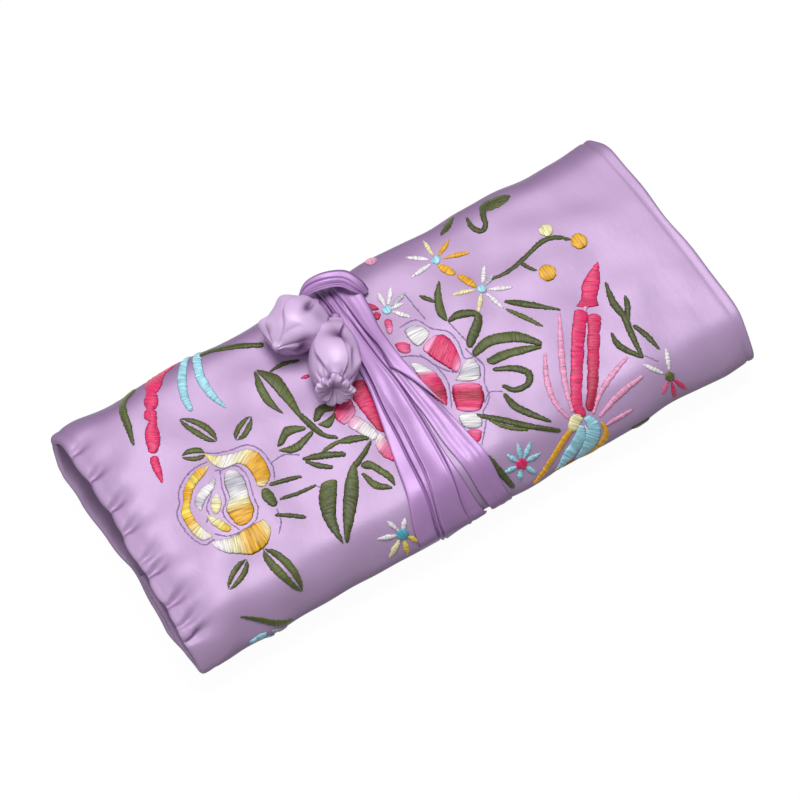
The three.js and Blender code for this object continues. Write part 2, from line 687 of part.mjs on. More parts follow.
const RUNS = [
  ['left', [LEFT_EDGE, LEFT_INNER], LEFT_PLEATS],
  ['right', [RIGHT_INNER, RIGHT_EDGE], RIGHT_PLEATS],
];
for (const [side, edges, pleats] of RUNS) {
  ribbonPiece(`ribbon_${side}_under`, edges, range(0, 1, 6), under, 0);
  ribbonPiece(`ribbon_${side}_far_low`, edges, range(0.035, 0.965, 5), onSlat(SLATS.far_low, 1), pleats);
  ribbonPiece(`ribbon_${side}_far_high`, edges, range(0.035, 0.965, 5), onSlat(SLATS.far_high, 2), pleats);
  ribbonPiece(`ribbon_${side}_top`, edges, range(0.01, 0.995, 14), onSlat(SLATS.top, 3), pleats);
  ribbonPiece(`ribbon_${side}_near`, edges, NEAR_SHARES, nearRun, pleats);
}
console.log('near run hinge', hingeY.toFixed(3), hingeZ.toFixed(3));

// Hitch, knots and rosebuds at the far end of the top run. Places are [x, y, z] from the top's far fold.
const foldY = SECTION.far3[0];
const onTop = ([x, y, z]) => [x, foldY + y, ROLL_HEIGHT + z];
const HITCH_PATH = [[-14, 4, -2], [-10.6, 5, 1.6], [-5.4, 3.9, 3.3], [0.2, 1.6, 3], [3, -2.2, 1.8], [4.7, -4.8, -0.6]];
const HITCH_HALF_WIDTH = 1.3;
const HITCH_SWELL = 2;
const HITCH_LEFT_END = new THREE.Vector3(0.2, 0.98, 0);
const HITCH_RIGHT_END = new THREE.Vector3(0.95, 0.3, 0);
const HITCH = 0.55;
const hitchPath = smoothPath(HITCH_PATH.map(onTop), 14);
const hitchShare = (k) => k / (hitchPath.length - 1);
const hitchHalf = hitchPath.map((_, k) => HITCH_HALF_WIDTH + HITCH_SWELL * Math.sin(Math.PI * hitchShare(k)));
const hitchAcross = hitchPath.map((_, k) => HITCH_LEFT_END.clone().lerp(HITCH_RIGHT_END, hitchShare(k)).normalize());
add('tie_hitch', bandAlong(hitchPath, hitchHalf, hitchAcross, -HITCH), MAT.ribbon);

// A rosebud's outline as [share of its radius, share of its length], stem first.
const BUD_OUTLINE = [
  [0, 0], [0.22, 0.012], [0.5, 0.1], [0.82, 0.25], [1, 0.45], [0.99, 0.62],
  [0.86, 0.8], [0.66, 0.93], [0.5, 1], [0.3, 0.95], [0, 0.86],
];

function bud(name, knotPlace, knotRadius, direction, length, radius) {
  const knot = onTop(knotPlace);
  const knotBall = new THREE.SphereGeometry(knotRadius, 18, 12);
  knotBall.translate(...knot);
  add(`${name}_knot`, fromManifold(toManifold(knotBall)), MAT.ribbon);
  const profile = BUD_OUTLINE.map(([r, t]) => new THREE.Vector2(r * radius, t * length));
  const geometry = fromManifold(toManifold(new THREE.LatheGeometry(profile, BUD_SIDES)));
  const place = geometry.attributes.position;
  for (let k = 0; k < place.count; k++) {
    const round = Math.atan2(place.getZ(k), place.getX(k));
    const gather = 1 + BUD_GATHER * Math.cos(BUD_FOLDS * round) * Math.max(0, place.getY(k) / length);
    place.setX(k, place.getX(k) * gather);
    place.setZ(k, place.getZ(k) * gather);
  }
  const way = new THREE.Vector3(...direction).normalize();
  const turn = new THREE.Quaternion().setFromUnitVectors(new THREE.Vector3(0, 1, 0), way);
  geometry.applyQuaternion(turn);
  geometry.scale(1, 1, BUD_FLATTENED);
  const start = new THREE.Vector3(...knot).addScaledVector(way, knotRadius + BUD_STEM);
  geometry.translate(start.x, start.y, start.z);
  add(name, geometry, MAT.ribbon);
}
bud('rosebud_far', [-11.9, 0.5, 2.9], KNOT_RADIUS, [-0.88, -0.43, 0.25], FAR_BUD.length, FAR_BUD.radius);
bud('rosebud_near', [-10.4, -9.2, 2.9], KNOT_RADIUS, [-0.52, -0.833, 0.22], NEAR_BUD.length, NEAR_BUD.radius);

const overall = new THREE.Box3().setFromObject(group);
console.log('box', overall.min.toArray().map((v) => v.toFixed(3)).join(' '), overall.max.toArray().map((v) => v.toFixed(3)).join(' '));
console.log('nodes', group.children.length);

export default group;
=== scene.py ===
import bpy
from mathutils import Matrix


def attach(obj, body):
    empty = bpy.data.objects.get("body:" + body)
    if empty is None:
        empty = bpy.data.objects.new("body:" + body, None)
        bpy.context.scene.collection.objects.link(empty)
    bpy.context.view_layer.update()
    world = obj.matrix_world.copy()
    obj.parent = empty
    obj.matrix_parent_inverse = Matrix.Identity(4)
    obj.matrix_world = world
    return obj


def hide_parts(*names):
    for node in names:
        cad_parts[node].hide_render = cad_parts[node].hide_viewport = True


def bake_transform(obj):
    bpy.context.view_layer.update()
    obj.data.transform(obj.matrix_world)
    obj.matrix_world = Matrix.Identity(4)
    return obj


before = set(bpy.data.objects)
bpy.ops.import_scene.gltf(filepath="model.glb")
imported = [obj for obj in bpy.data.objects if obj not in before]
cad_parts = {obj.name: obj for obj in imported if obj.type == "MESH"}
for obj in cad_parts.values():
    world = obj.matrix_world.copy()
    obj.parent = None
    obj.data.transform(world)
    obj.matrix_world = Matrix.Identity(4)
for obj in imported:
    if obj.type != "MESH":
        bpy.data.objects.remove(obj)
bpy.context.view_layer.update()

import bpy
import numpy as np
from mathutils import Vector

# The studio: a pale floor, a big soft lamp high over the roll and a little behind it, a weak one at each
# end, and a camera on a long lens that looks down at the roll from its near left side.
AIM = Vector((-0.00297, -0.00075, 0.012))
CAMERA_AZIMUTH = np.radians(-32.36)
CAMERA_ELEVATION = np.radians(61.06)
CAMERA_DISTANCE = 1.0
CAMERA_LENS = 145.7
LAMPS = {
    "key_lamp": ((0.20, 0.46, 1.88), 1.00, 33.0),
    "left_lamp": ((-1.30, 0.10, 0.90), 0.80, 6.0),
    "right_lamp": ((1.40, -0.30, 1.00), 0.80, 2.5),
}
SKY_LEVEL = 0.16
FLOOR_LEVEL = 0.30
FLOOR_GLOW = 0.88
FLOOR_WHITE = 1.10

level = np.cos(CAMERA_ELEVATION)
back = Vector((np.sin(CAMERA_AZIMUTH) * level, -np.cos(CAMERA_AZIMUTH) * level, np.sin(CAMERA_ELEVATION)))
bpy.context.scene.view_settings.view_transform = "Standard"
camera_data = bpy.data.cameras.new("camera")
camera_data.lens = CAMERA_LENS
camera = bpy.data.objects.new("camera", camera_data)
camera.location = AIM + back * CAMERA_DISTANCE
camera.rotation_euler = back.to_track_quat("Z", "Y").to_euler()
bpy.context.scene.collection.objects.link(camera)
bpy.context.scene.camera = camera
for lamp_name, (place, size, power) in LAMPS.items():
    lamp_data = bpy.data.lights.new(lamp_name, "AREA")
    lamp_data.size = size
    lamp_data.energy = power
    lamp = bpy.data.objects.new(lamp_name, lamp_data)
    lamp.location = place
    lamp.rotation_euler = (Vector(place) - AIM).to_track_quat("Z", "Y").to_euler()
    bpy.context.scene.collection.objects.link(lamp)


def fill(tree, node, inputs):
    """Gives a node's inputs, by name or number, what they hold: a socket is linked and a value is set."""
    for key, value in inputs.items():
        if isinstance(value, bpy.types.NodeSocket):
            tree.links.new(value, node.inputs[key])
        else:
            node.inputs[key].default_value = value


def add_node(tree, kind, inputs=None, **settings):
    """A new shader node of a kind, with its settings and then its inputs."""
    node = tree.nodes.new(f"ShaderNode{kind}")
    for name, value in settings.items():
        setattr(node, name, value)
    fill(tree, node, inputs or {})
    return node


def new_material(name):
    """An empty node material, its tree and its shader."""
    material = bpy.data.materials.new(name)
    material.use_nodes = True
    tree = material.node_tree
    return material, tree, tree.nodes["Principled BSDF"]


def seen_directly(tree):
    """A socket that is 1 for camera, glossy and transmission rays, and 0 for light that falls on things."""
    path = add_node(tree, "LightPath")
    total = path.outputs["Is Camera Ray"]
    for ray in ("Is Glossy Ray", "Is Transmission Ray"):
        total = add_node(tree, "Math", {0: total, 1: path.outputs[ray]}, operation="MAXIMUM").outputs[0]
    return total


world = bpy.data.worlds.new("sky")
world.use_nodes = True
bpy.context.scene.world = world
sky_tree = world.node_tree
fill(sky_tree, sky_tree.nodes["Background"], {"Color": (1, 1, 1, 1), "Strength": SKY_LEVEL})

FLOOR_HALF = 4.0
FLOOR_DROP = 0.0003
floor_mesh = bpy.data.meshes.new("floor")
floor_mesh.from_pydata([(x * FLOOR_HALF, y * FLOOR_HALF, -FLOOR_DROP)
                        for x, y in ((-1, -1), (1, -1), (1, 1), (-1, 1))], [], [(0, 1, 2, 3)])
floor = bpy.data.objects.new("floor", floor_mesh)
bpy.context.scene.collection.objects.link(floor)
floor_material, floor_tree, floor_shader = new_material("pale_floor")
fill(floor_tree, floor_shader, {"Base Color": (FLOOR_LEVEL,) * 3 + (1,), "Roughness": 0.9})
floor_glow = add_node(floor_tree, "Emission", {"Strength": FLOOR_WHITE})
glow_share = add_node(floor_tree, "Math", {0: seen_directly(floor_tree), 1: FLOOR_GLOW}, operation="MULTIPLY")
floor_mix = add_node(floor_tree, "MixShader", {
    0: glow_share.outputs[0], 1: floor_shader.outputs[0], 2: floor_glow.outputs[0]})
fill(floor_tree, floor_tree.nodes["Material Output"], {"Surface": floor_mix.outputs[0]})
floor_mesh.materials.append(floor_material)

# The cover: one lilac satin cloth over thin wadding, folded round the far and near sides. Its section is
# followed from the bottom panel's free edge, up the far side, over the top, down the near side and under to
# the flap's tip. Its long edges and ends are turned in as hems.
MM = 0.001
CORNERS = np.array([(-41.6, 0.8), (36, 1.2), (46.735, 11.75), (36, 23), (-36, 23), (-47, 9.8), (-38, 3.2),
                    (0.5, 3.2)])
BELLIES = (0, 1.5, 1.5, 2, 1.5, 1.5, 0)
PAD = 2.4
HALF_LENGTH = 100
STEP = 0.2
ROUNDING = 2.2
RISE_NEAR = -38
RISE_FAR = 28


def under_rise(y):
    """How far the underside lifts off the floor: the square of the way from the flat part to each edge."""
    near = np.clip((RISE_NEAR - y) / (RISE_NEAR - CORNERS[0, 0]), 0, None)
    far = np.clip((y - RISE_FAR) / (CORNERS[1, 0] - RISE_FAR), 0, None)
    return CORNERS[0, 1] * near ** 2 + CORNERS[1, 1] * far ** 2


def bell_mean(values, places):
    """A running mean of evenly spaced numbers, weighted by the bell e to minus half the square of each
    neighbour's place."""
    bell = np.exp(-0.5 * places ** 2)
    wide = np.pad(values, len(places) // 2, mode="reflect", reflect_type="odd")
    return np.convolve(wide, bell / bell.sum(), "valid")


def outward(line):
    """Unit normals of a section line, to the right of its way."""
    way = np.gradient(line, axis=0)
    return np.stack([way[:, 1], -way[:, 0]], 1) / np.hypot(*way.T)[:, None]


def section_curves():
    """Outer and inner lines of the section: straight lengths with a parabolic belly, mitred at the creases,
    taken at even steps and rounded by a bell-shaped running mean."""
    ways = np.diff(CORNERS, axis=0)
    ways[0, 1] = 0
    heads = np.arctan2(ways[:, 1], ways[:, 0])
    turns = np.zeros(len(CORNERS))
    turns[1:-1] = np.mod(np.diff(heads), 2 * np.pi)
    share = np.linspace(0, 1, 240)[:-1, None]
    outer, inner = [], []
    for k, belly in enumerate(BELLIES):
        length = np.hypot(*ways[k])
        along = ways[k] / length
        inward = np.array([-along[1], along[0]])
        bulge = 4 * belly * share * (1 - share)
        first = PAD * np.tan(turns[k] / 2)
        last = length - PAD * np.tan(turns[k + 1] / 2)
        start = CORNERS[k] * (1, 0 if k == 0 else 1)
        lift = under_rise(start[0] + along[0] * share * length) * (k == 0)
        outer.append(start + along * share * length - inward * (bulge - lift))
        inner.append(start + along * (first + share * (last - first)) + inward * (PAD - bulge + lift))
    outer, inner = np.concatenate(outer), np.concatenate(inner)
    run = np.concatenate([[0], np.cumsum(np.hypot(*np.diff(outer, axis=0).T))])
    even = np.arange(0, run[-1], STEP)
    reach = int(3 * ROUNDING / STEP)
    places = np.arange(-reach, reach + 1) * STEP / ROUNDING
    rounded = [np.stack([bell_mean(np.interp(even, run, line[:, k]), places) for k in range(2)], 1)
               for line in (outer, inner)]
    return even, *rounded


STATIONS, OUTER, INNER = section_curves()
OUTWARD = outward(OUTER)
LAST_STATION = STATIONS[-1]
CREASES = [STATIONS[np.argmin(np.hypot(*(OUTER - corner).T))] for corner in CORNERS[1:-1]]
FOLD_MARGIN = 7
middles = [(a + b) / 2 for a, b in zip(CREASES, CREASES[1:])]
ZONES = [
    ("base", 0, CREASES[0] - FOLD_MARGIN, ("base",)),
    ("far_low", CREASES[0] - FOLD_MARGIN, middles[0], ("base", "far_low")),
    ("far_middle", middles[0], middles[1], ("far_low", "far_high")),
    ("far_top", middles[1], CREASES[2] + FOLD_MARGIN, ("far_high", "top")),
    ("top", CREASES[2] + FOLD_MARGIN, CREASES[3] - FOLD_MARGIN, ("top",)),
    ("near_top", CREASES[3] - FOLD_MARGIN, middles[3], ("top", "near_high")),
    ("near_middle", middles[3], middles[4], ("near_high", "near_low")),
    ("near_low", middles[4], CREASES[5] + FOLD_MARGIN, ("near_low", "flap")),
    ("flap", CREASES[5] + FOLD_MARGIN, LAST_STATION, ("flap",)),
]


def along_section(line, station):
    """The line's [y, z] at stations along the section, by straight-line interpolation."""
    return np.stack([np.interp(station, STATIONS, line[:, k]) for k in range(2)], -1)


# The roll is full in its middle, over the padded ring bar, and flatter towards its left end.
FLAT_FROM = 76
FLAT_LEVEL = 5
FLAT_SHARES = (0.2, 0.0)


def flattened(points):
    """The points with all that lies above a level drawn down towards it, by a share that grows with the
    square of the way into each end."""
    share = np.clip((np.abs(points[..., 0]) - FLAT_FROM) / (HALF_LENGTH - FLAT_FROM), 0, 1) ** 2
    share = share * np.where(points[..., 0] < 0, *FLAT_SHARES)
    points = np.array(points)
    points[..., 2] -= np.clip(points[..., 2] - FLAT_LEVEL, 0, None) * share
    return points


# The flowers are drawn in a flat drawing of the cover as it is seen from the front left, in millimetres.
# Its X is the first number of DRAWN_X, and the others times x, y, z and x y. Its Y is the first number of
# DRAWN_Y, and the others times y, z and y squared.
DRAWN_X = (-1.593, 1.0112, -0.0457, 0.285, -0.000237)
DRAWN_Y = (-3.557, 1.0026, 0.4369, -0.000385)
SEEN_FIRST = CREASES[1] + 2
SEEN_LAST = CREASES[4] - 2


def cover_place(drawn):
    """Place x and station on the cover for drawn points: Y gives the station along the part that is seen,
    running on at the same pace beyond it, and X then gives x."""
    drawn = np.asarray(drawn, float)
    seen = STATIONS[(STATIONS > SEEN_FIRST) & (STATIONS < SEEN_LAST)]
    y, z = along_section(OUTER, seen).T
    level_y = DRAWN_Y[0] + DRAWN_Y[1] * y + DRAWN_Y[2] * z + DRAWN_Y[3] * y * y
    first, last = np.argmax(level_y), np.argmin(level_y)
    seen, level_y = seen[first:last], level_y[first:last]
    station = np.interp(-drawn[..., 1], -level_y, seen)
    station -= np.clip(drawn[..., 1] - level_y[0], 0, None)
    station += np.clip(level_y[-1] - drawn[..., 1], 0, None)
    y, z = np.moveaxis(along_section(OUTER, station), -1, 0)
    x = (drawn[..., 0] - DRAWN_X[0] - DRAWN_X[2] * y - DRAWN_X[3] * z) / (DRAWN_X[1] + DRAWN_X[4] * y)
    return x, station


luck = np.random.default_rng(11)
SOFT_WAVES = [
    (2 * np.pi / length * np.cos(way), 2 * np.pi / length * np.sin(way), phase, length * 0.0042)
    for length, way, phase in zip(
        luck.uniform(13, 46, 22), luck.uniform(0, np.pi, 22), luck.uniform(0, 6.3, 22))
]
SEEN_GATHERS = ((29, 1.3), (17, 1.5), (8, 1.1), (-3, 0.7), (-8, 1.9), (-20, 1.6), (-28, 1.1), (-34, 1.3),
                (39, 0.8))
GATHERS = [(cover_place((-97, y))[1], depth) for y, depth in SEEN_GATHERS]
GATHERS += [(s, luck.uniform(0.5, 1.1)) for s in np.arange(5, CREASES[1], 11) + luck.uniform(-2, 2, 9)[0]]
GATHERS += [(s, luck.uniform(0.5, 1.1)) for s in np.arange(CREASES[4] + 3, LAST_STATION, 11)]
GATHER_REACH = 3.4
GATHER_SLANT = 0.16
PUFF = 0.9
PINCH_FLOOR = -2.05
HEM_STITCH = 97.2
SEAM_DITCH = 96.8
GROOVE = (-26, 14.5, 2, 1.15)


def relief(x, station):
    """How far the satin stands off the even section: long soft waves, pinches at the left end that widen
    and fade as they run in, with puffs between them, a ditch inside each end, and the ribbon's groove."""
    lift = sum(size * np.sin(a * x + b * station + phase) for a, b, phase, size in SOFT_WAVES)
    lift = lift * np.clip((HALF_LENGTH - np.abs(x)) / 12, 0.15, 1)
    from_end = np.clip(x + HALF_LENGTH, 0, None)
    fading = 1.35 * np.exp(-((from_end - 2.8) / 2.9) ** 2) + 0.4 * np.exp(-from_end / GATHER_REACH)
    puff = PUFF * np.exp(-((from_end - 7) / 6) ** 2)
    for place, depth in GATHERS:
        off = station - place + GATHER_SLANT * from_end
        lift = lift - depth * fading * np.exp(-(off / (0.8 + 0.22 * from_end)) ** 2)
        puff = puff * (1 - 0.8 * np.exp(-(off / (1.6 + 0.25 * from_end)) ** 2))
    lift = np.where(lift < 0, PINCH_FLOOR * np.tanh(lift / PINCH_FLOOR), lift)
    lift = lift + puff + 1.3 * np.exp(-((HALF_LENGTH - x) / 9) ** 2 - ((station - CREASES[1] - 1) / 5) ** 2)
    lift = lift - 0.28 * np.exp(-((x + HEM_STITCH) / 0.55) ** 2)
    lift = lift - 0.42 * np.exp(-((x - SEAM_DITCH) / 0.6) ** 2)
    left, right, slope, roof = GROOVE
    inside = np.clip(np.minimum(x - left, right - x) / slope, 0, 1)
    y = np.interp(station, STATIONS, OUTER[:, 0])
    under = np.clip((CREASES[0] - 1 - station) / 2, 0, 1)
    below = -0.06 - np.clip(0.3 - lift, 0, 0.6) * 0.12
    lift = lift + (below - lift) * np.clip((CREASES[0] + 4 - station) / 8, 0, 1)
    return lift - inside * under * np.clip(roof - under_rise(y), 0, None)


def cover_point(x, station, lift=0.0):
    """A point on the satin: the outer line at the station, moved out by the relief and the lift."""
    place = along_section(OUTER, station)
    out = along_section(OUTWARD, station)
    place = place + out * (relief(x, station) + lift)[..., None]
    return flattened(np.concatenate([np.asarray(x)[..., None], place], -1))


def grid_normals(points):
    """Unit normals of a grid of points: the cross product of its two central differences."""
    across = np.cross(np.gradient(points, axis=0), np.gradient(points, axis=1))
    return across / np.maximum(np.linalg.norm(across, axis=-1, keepdims=True), 1e-12)


def mesh_piece(name, points, faces, material, normals=None, uv=None, colours=None):
    """A smooth mesh from points in millimetres, with its own normals, UV map and colours where given."""
    mesh = bpy.data.meshes.new(name)
    mesh.from_pydata((np.asarray(points) * MM).tolist(), [], [list(map(int, f)) for f in faces])
    mesh.shade_smooth()
    corners = np.zeros(len(mesh.loops), np.int32)
    mesh.loops.foreach_get("vertex_index", corners)
    if uv is not None:
        layer = mesh.uv_layers.new(name="thread")
        layer.data.foreach_set("uv", np.asarray(uv)[corners].ravel())
    if colours is not None:
        attribute = mesh.attributes.new("thread_colour", "FLOAT_COLOR", "POINT")
        attribute.data.foreach_set("color", np.concatenate([colours, np.ones((len(colours), 1))], 1).ravel())
    if normals is not None:
        mesh.normals_split_custom_set_from_vertices(np.asarray(normals).tolist())
    piece = bpy.data.objects.new(name, mesh)
    bpy.context.scene.collection.objects.link(piece)
    mesh.materials.append(material)
    return piece


def grid_faces(rows, columns):
    """Quads between the neighbouring points of a grid that is numbered row by row."""
    number = np.arange(rows * columns).reshape(rows, columns)
    return np.stack([number[:-1, :-1], number[1:, :-1], number[1:, 1:], number[:-1, 1:]], -1).reshape(-1, 4)


def cloth(name, points, normals, thickness, material):
    """A thin closed cloth: a grid of points, the same grid sunk by the thickness, and a rim of quads."""
    rows, columns = points.shape[:2]
    count = rows * columns
    front = grid_faces(rows, columns)
    middle = front[len(front) // 2]
    flat = points.reshape(-1, 3)
    facing = np.cross(flat[middle[1]] - flat[middle[0]], flat[middle[3]] - flat[middle[0]])
    number = np.arange(count).reshape(rows, columns)
    rim = np.concatenate([number[:-1, 0], number[-1, :-1], number[:0:-1, -1], number[0, :0:-1]])
    after = np.roll(rim, -1)
    rim_faces = np.stack([rim, rim + count, after + count, after], -1)
    if facing @ normals.reshape(-1, 3)[middle[0]] < 0:
        front, rim_faces = front[:, ::-1], rim_faces[:, ::-1]
    sunk = flat - normals.reshape(-1, 3) * thickness
    faces = np.concatenate([front, front[:, ::-1] + count, rim_faces])
    both = np.concatenate([normals.reshape(-1, 3), -normals.reshape(-1, 3)])
    return mesh_piece(name, np.concatenate([flat, sunk]), faces, material, both)


def colour(text):
    """Linear colour of a six-digit screen colour."""
    value = np.array([int(text[k:k + 2], 16) for k in (0, 2, 4)]) / 255
    return np.where(value <= 0.04045, value / 12.92, ((value + 0.055) / 1.055) ** 2.4)


FACE_OUTPUTS = {"Colour Out": "NodeSocketColor", "Roughness": "NodeSocketFloat", "Height": "NodeSocketFloat"}
# Painted shade on every satin: where the cloth turns from the eye, Layer Weight's Facing darkens its base
# colour towards this tint, from this facing on.
PAINTED_SHADE_FROM = 0.22
PAINTED_GRAZING_SHADE = (0.42, 0.3, 0.46, 1)


def face_group(name, inputs):
    """A shader node group for a face, whose inputs are a name and a value each: the group, the sockets it
    is given, the node that ends it and its object coordinates."""
    group = bpy.data.node_groups.new(name, "ShaderNodeTree")
    for label, value in inputs.items():
        kind = "NodeSocketFloat" if isinstance(value, float) else "NodeSocketColor"
        group.interface.new_socket(name=label, in_out="INPUT", socket_type=kind).default_value = value
    for label, kind in FACE_OUTPUTS.items():
        group.interface.new_socket(name=label, in_out="OUTPUT", socket_type=kind)
    given, ending = group.nodes.new("NodeGroupInput"), group.nodes.new("NodeGroupOutput")
    return group, given.outputs, ending, add_node(group, "TexCoord").outputs["Object"]


def satin_group():
    """Satin's face: mottled colour, a fine weave of floats along the cloth, and small creases."""
    group, given, ending, place = face_group("satin_face", {
        "Colour": (0.5, 0.5, 0.5, 1), "Shade": (0.3, 0.3, 0.3, 1), "Mottling": 0.2, "Gloss": 0.35,
        "Crease Height": 0.3})

    def noise(scale, detail, stretch):
        mapping = add_node(group, "Mapping", {"Vector": place, "Scale": stretch})
        inputs = {"Vector": mapping.outputs[0], "Scale": scale, "Detail": detail}
        return add_node(group, "TexNoise", inputs).outputs["Fac"]

    def math(kind, first, second):
        return add_node(group, "Math", {0: first, 1: second}, operation=kind).outputs[0]

    clouds = noise(70, 2, (1, 1, 1))
    creases = noise(260, 3, (1, 0.55, 0.55))
    floats = noise(2600, 2, (0.35, 2.2, 2.2))
    amount = math("MULTIPLY", math("MULTIPLY_ADD", clouds, 1.6), given["Mottling"])
    blend = add_node(group, "Mix", {"Factor": amount, "A": given["Colour"], "B": given["Shade"]},
                     data_type="RGBA")
    grain = math("MULTIPLY", math("SUBTRACT", floats, 0.5), 0.16)
    raised = math("MULTIPLY", creases, given["Crease Height"])
    fill(group, ending, {
        "Colour Out": blend.outputs["Result"], "Roughness": math("ADD", given["Gloss"], grain),
        "Height": math("ADD", raised, math("MULTIPLY", floats, 0.10))})
    return group


satin_face = satin_group()


def wear_face(tree, shader, face, base, strength, distance, metallic):
    """Joins a face's roughness and bumps, and a base colour, to a material's shader."""
    bump = add_node(tree, "Bump", {
        "Height": face.outputs["Height"], "Strength": strength, "Distance": distance})
    fill(tree, shader, {
        "Base Color": base, "Roughness": face.outputs["Roughness"], "Normal": bump.outputs["Normal"],
        "Metallic": metallic})


def satin(name, main, shade, gloss=0.46, mottling=0.2, creases=0.35, glow=0.1, painted_shade_full_at=0.7):
    """A satin material in its own two colours, with painted shade: the base colour is darkened by the angle
    of sight, most where the cloth turns edge-on to the eye.
    """
    material, tree, shader = new_material(name)
    face = add_node(tree, "Group", {
        "Colour": (*colour(main), 1), "Shade": (*colour(shade), 1), "Gloss": gloss, "Mottling": mottling,
        "Crease Height": creases}, node_tree=satin_face)
    # Painted shade: the base colour is multiplied towards a dark tint by the angle of sight.
    share = add_node(tree, "MapRange", {
        "Value": add_node(tree, "LayerWeight").outputs["Facing"], "From Min": PAINTED_SHADE_FROM,
        "From Max": painted_shade_full_at})
    grazing_painted_shade = add_node(tree, "Mix", {
        "Factor": share.outputs[0], "A": face.outputs["Colour Out"], "B": PAINTED_GRAZING_SHADE},
        data_type="RGBA", blend_type="MULTIPLY")
    wear_face(tree, shader, face, grazing_painted_shade.outputs["Result"], 0.55, 0.0007, glow)
    return material


cover_satin = satin("cover_satin", "bfa1c9", "a988b6")
HEM_RADIUS = PAD / 2
HEM_WIDTH = 7.5
HEM_PROUD = 0.12
HEM_ROWS = 5
TURN_STEPS = 9
CLOTH = 0.25


def even_places(marks, spacing):
    """Places from the first mark up to the last at about even steps, with one on every mark but the last."""
    counts = [max(2, int(round((b - a) / spacing)) + 1) for a, b in zip(marks, marks[1:])]
    return [np.linspace(a, b, count)[:-1] for a, b, count in zip(marks, marks[1:], counts)]


def turned_edge(first, last, spacing, borders=()):
    """Places along a line whose ends are turned in: the hem, half a circle round the edge, the open run
    and the same again. The second list is how far each place has gone from the outer to the inner face."""
    around = np.radians(np.linspace(0, 180, TURN_STEPS)[1:-1])
    start, end = first + HEM_RADIUS, last - HEM_RADIUS
    open_run = even_places([start, *borders, end], spacing)
    hem = np.linspace(first + HEM_WIDTH, start, HEM_ROWS)
    places = [hem, start - HEM_RADIUS * np.sin(around), *open_run, [end], end + HEM_RADIUS * np.sin(around),
              np.linspace(end, last - HEM_WIDTH, HEM_ROWS)]
    turned = (1 + np.cos(around)) / 2
    open_count = sum(map(len, open_run)) + 1
    depth = [np.ones(HEM_ROWS), turned, np.zeros(open_count), turned[::-1], np.ones(HEM_ROWS)]
    return np.concatenate(places), np.concatenate(depth)


cover_x, end_turn = turned_edge(-HALF_LENGTH, HALF_LENGTH, 0.9, (-84,))
cover_s, edge_turn = turned_edge(0, LAST_STATION, 0.5, [zone[1] for zone in ZONES[1:]])
X, S = np.meshgrid(cover_x, cover_s)
LEFT_END = [(0, 0), (16, -1.5), (41, -0.3), (67, -2.3), (CREASES[0], -2.2), (CREASES[1], -1),
            (CREASES[2] + 8, 0), (144, -0.6), (169, -2.1), (CREASES[4], -1.6), (LAST_STATION, 0)]
over_top = np.clip((S - CREASES[1]) / 6, 0, 1) * np.clip((CREASES[3] + 5 - S) / 9, 0, 1)
drawn_in = sum(depth * np.exp(-((S - place) / 2.2) ** 2) for place, depth in GATHERS)
left_edge = np.interp(S, *np.transpose(LEFT_END)) + 0.45 * drawn_in * over_top
left_edge = left_edge + 0.3 * np.sin(S / 5.3 + 1.3) + 0.2 * np.sin(S / 2.7)
right_edge = 0.35 * np.sin(S / 8.3 + 0.4) + 0.2 * np.sin(S / 3.9) - 0.3
X = X + left_edge * np.exp(-(HALF_LENGTH + X) / 6) + right_edge * np.exp(-(HALF_LENGTH - X) / 5)
turn = (1 - (1 - end_turn[None, :]) * (1 - edge_turn[:, None]))[..., None]
outer_face = cover_point(X, S)
inner_place = along_section(INNER, S) - along_section(OUTWARD, S) * HEM_PROUD
inner_face = np.concatenate([X[..., None], inner_place], -1)
cover_grid = outer_face * (1 - turn) + flattened(inner_face) * turn
cover_normals = grid_normals(cover_grid)
middle_row, middle_column = len(cover_s) // 2, len(cover_x) // 2
if cover_normals[middle_row, middle_column, 2] < 0:
    cover_normals = -cover_normals


def rows_between(stations, first, last):
    """The rows of a grid whose stations lie in a zone, with its borders."""
    rows = np.nonzero((stations >= first - 1e-6) & (stations <= last + 1e-6))[0]
    return slice(rows[0], rows[-1] + 1)


def bend(piece, zone):
    """Hands a piece to its body when its zone has only one. A piece over a crease goes to no body; only its
    place is baked into its points."""
    first, last, bodies = zone[1:]
    if len(bodies) == 1:
        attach(piece, bodies[0])
        return
    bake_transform(piece)


COVER_STANDS_FOR = {
    "base": ("base_shell", "base_wadding"), "far_low": ("far_low_shell",), "far_middle": ("far_high_shell",),
    "top": ("top_shell", "top_wadding"), "near_top": ("near_high_shell",), "near_middle": ("near_low_shell",),
    "flap": ("flap_shell", "flap_wadding"),
}
for zone in ZONES:
    name, first, last, bodies = zone
    rows = rows_between(cover_s, first, last)
    piece = cloth(f"cover_{name}", cover_grid[rows], cover_normals[rows], CLOTH, cover_satin)
    bend(piece, zone)
    if name in COVER_STANDS_FOR:
        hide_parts(*COVER_STANDS_FOR[name])

# The lining: a paler lilac satin cloth inside the hems. It follows the inner line of the section with
# shallow waves of its own, and is cut at the same stations as the cover.
LINING_EDGE = 4
LINING_COLUMNS = 130
LINING_STEP = 1.4
SMALLEST_SHEET = 0.0105
LINING_CLOTH = 0.2
lining_satin = satin("lining_satin", "b898c6", "a27fb2", gloss=0.45, creases=0.5)
lining_x = np.linspace(-HALF_LENGTH + LINING_EDGE, HALF_LENGTH - LINING_EDGE, LINING_COLUMNS)
LINING_STANDS_FOR = {
    "base": "base_lining", "far_low": "far_low_lining", "far_middle": "far_high_lining", "top": "top_lining",
    "near_top": "near_high_lining", "near_middle": "near_low_lining", "flap": "flap_lining",
}


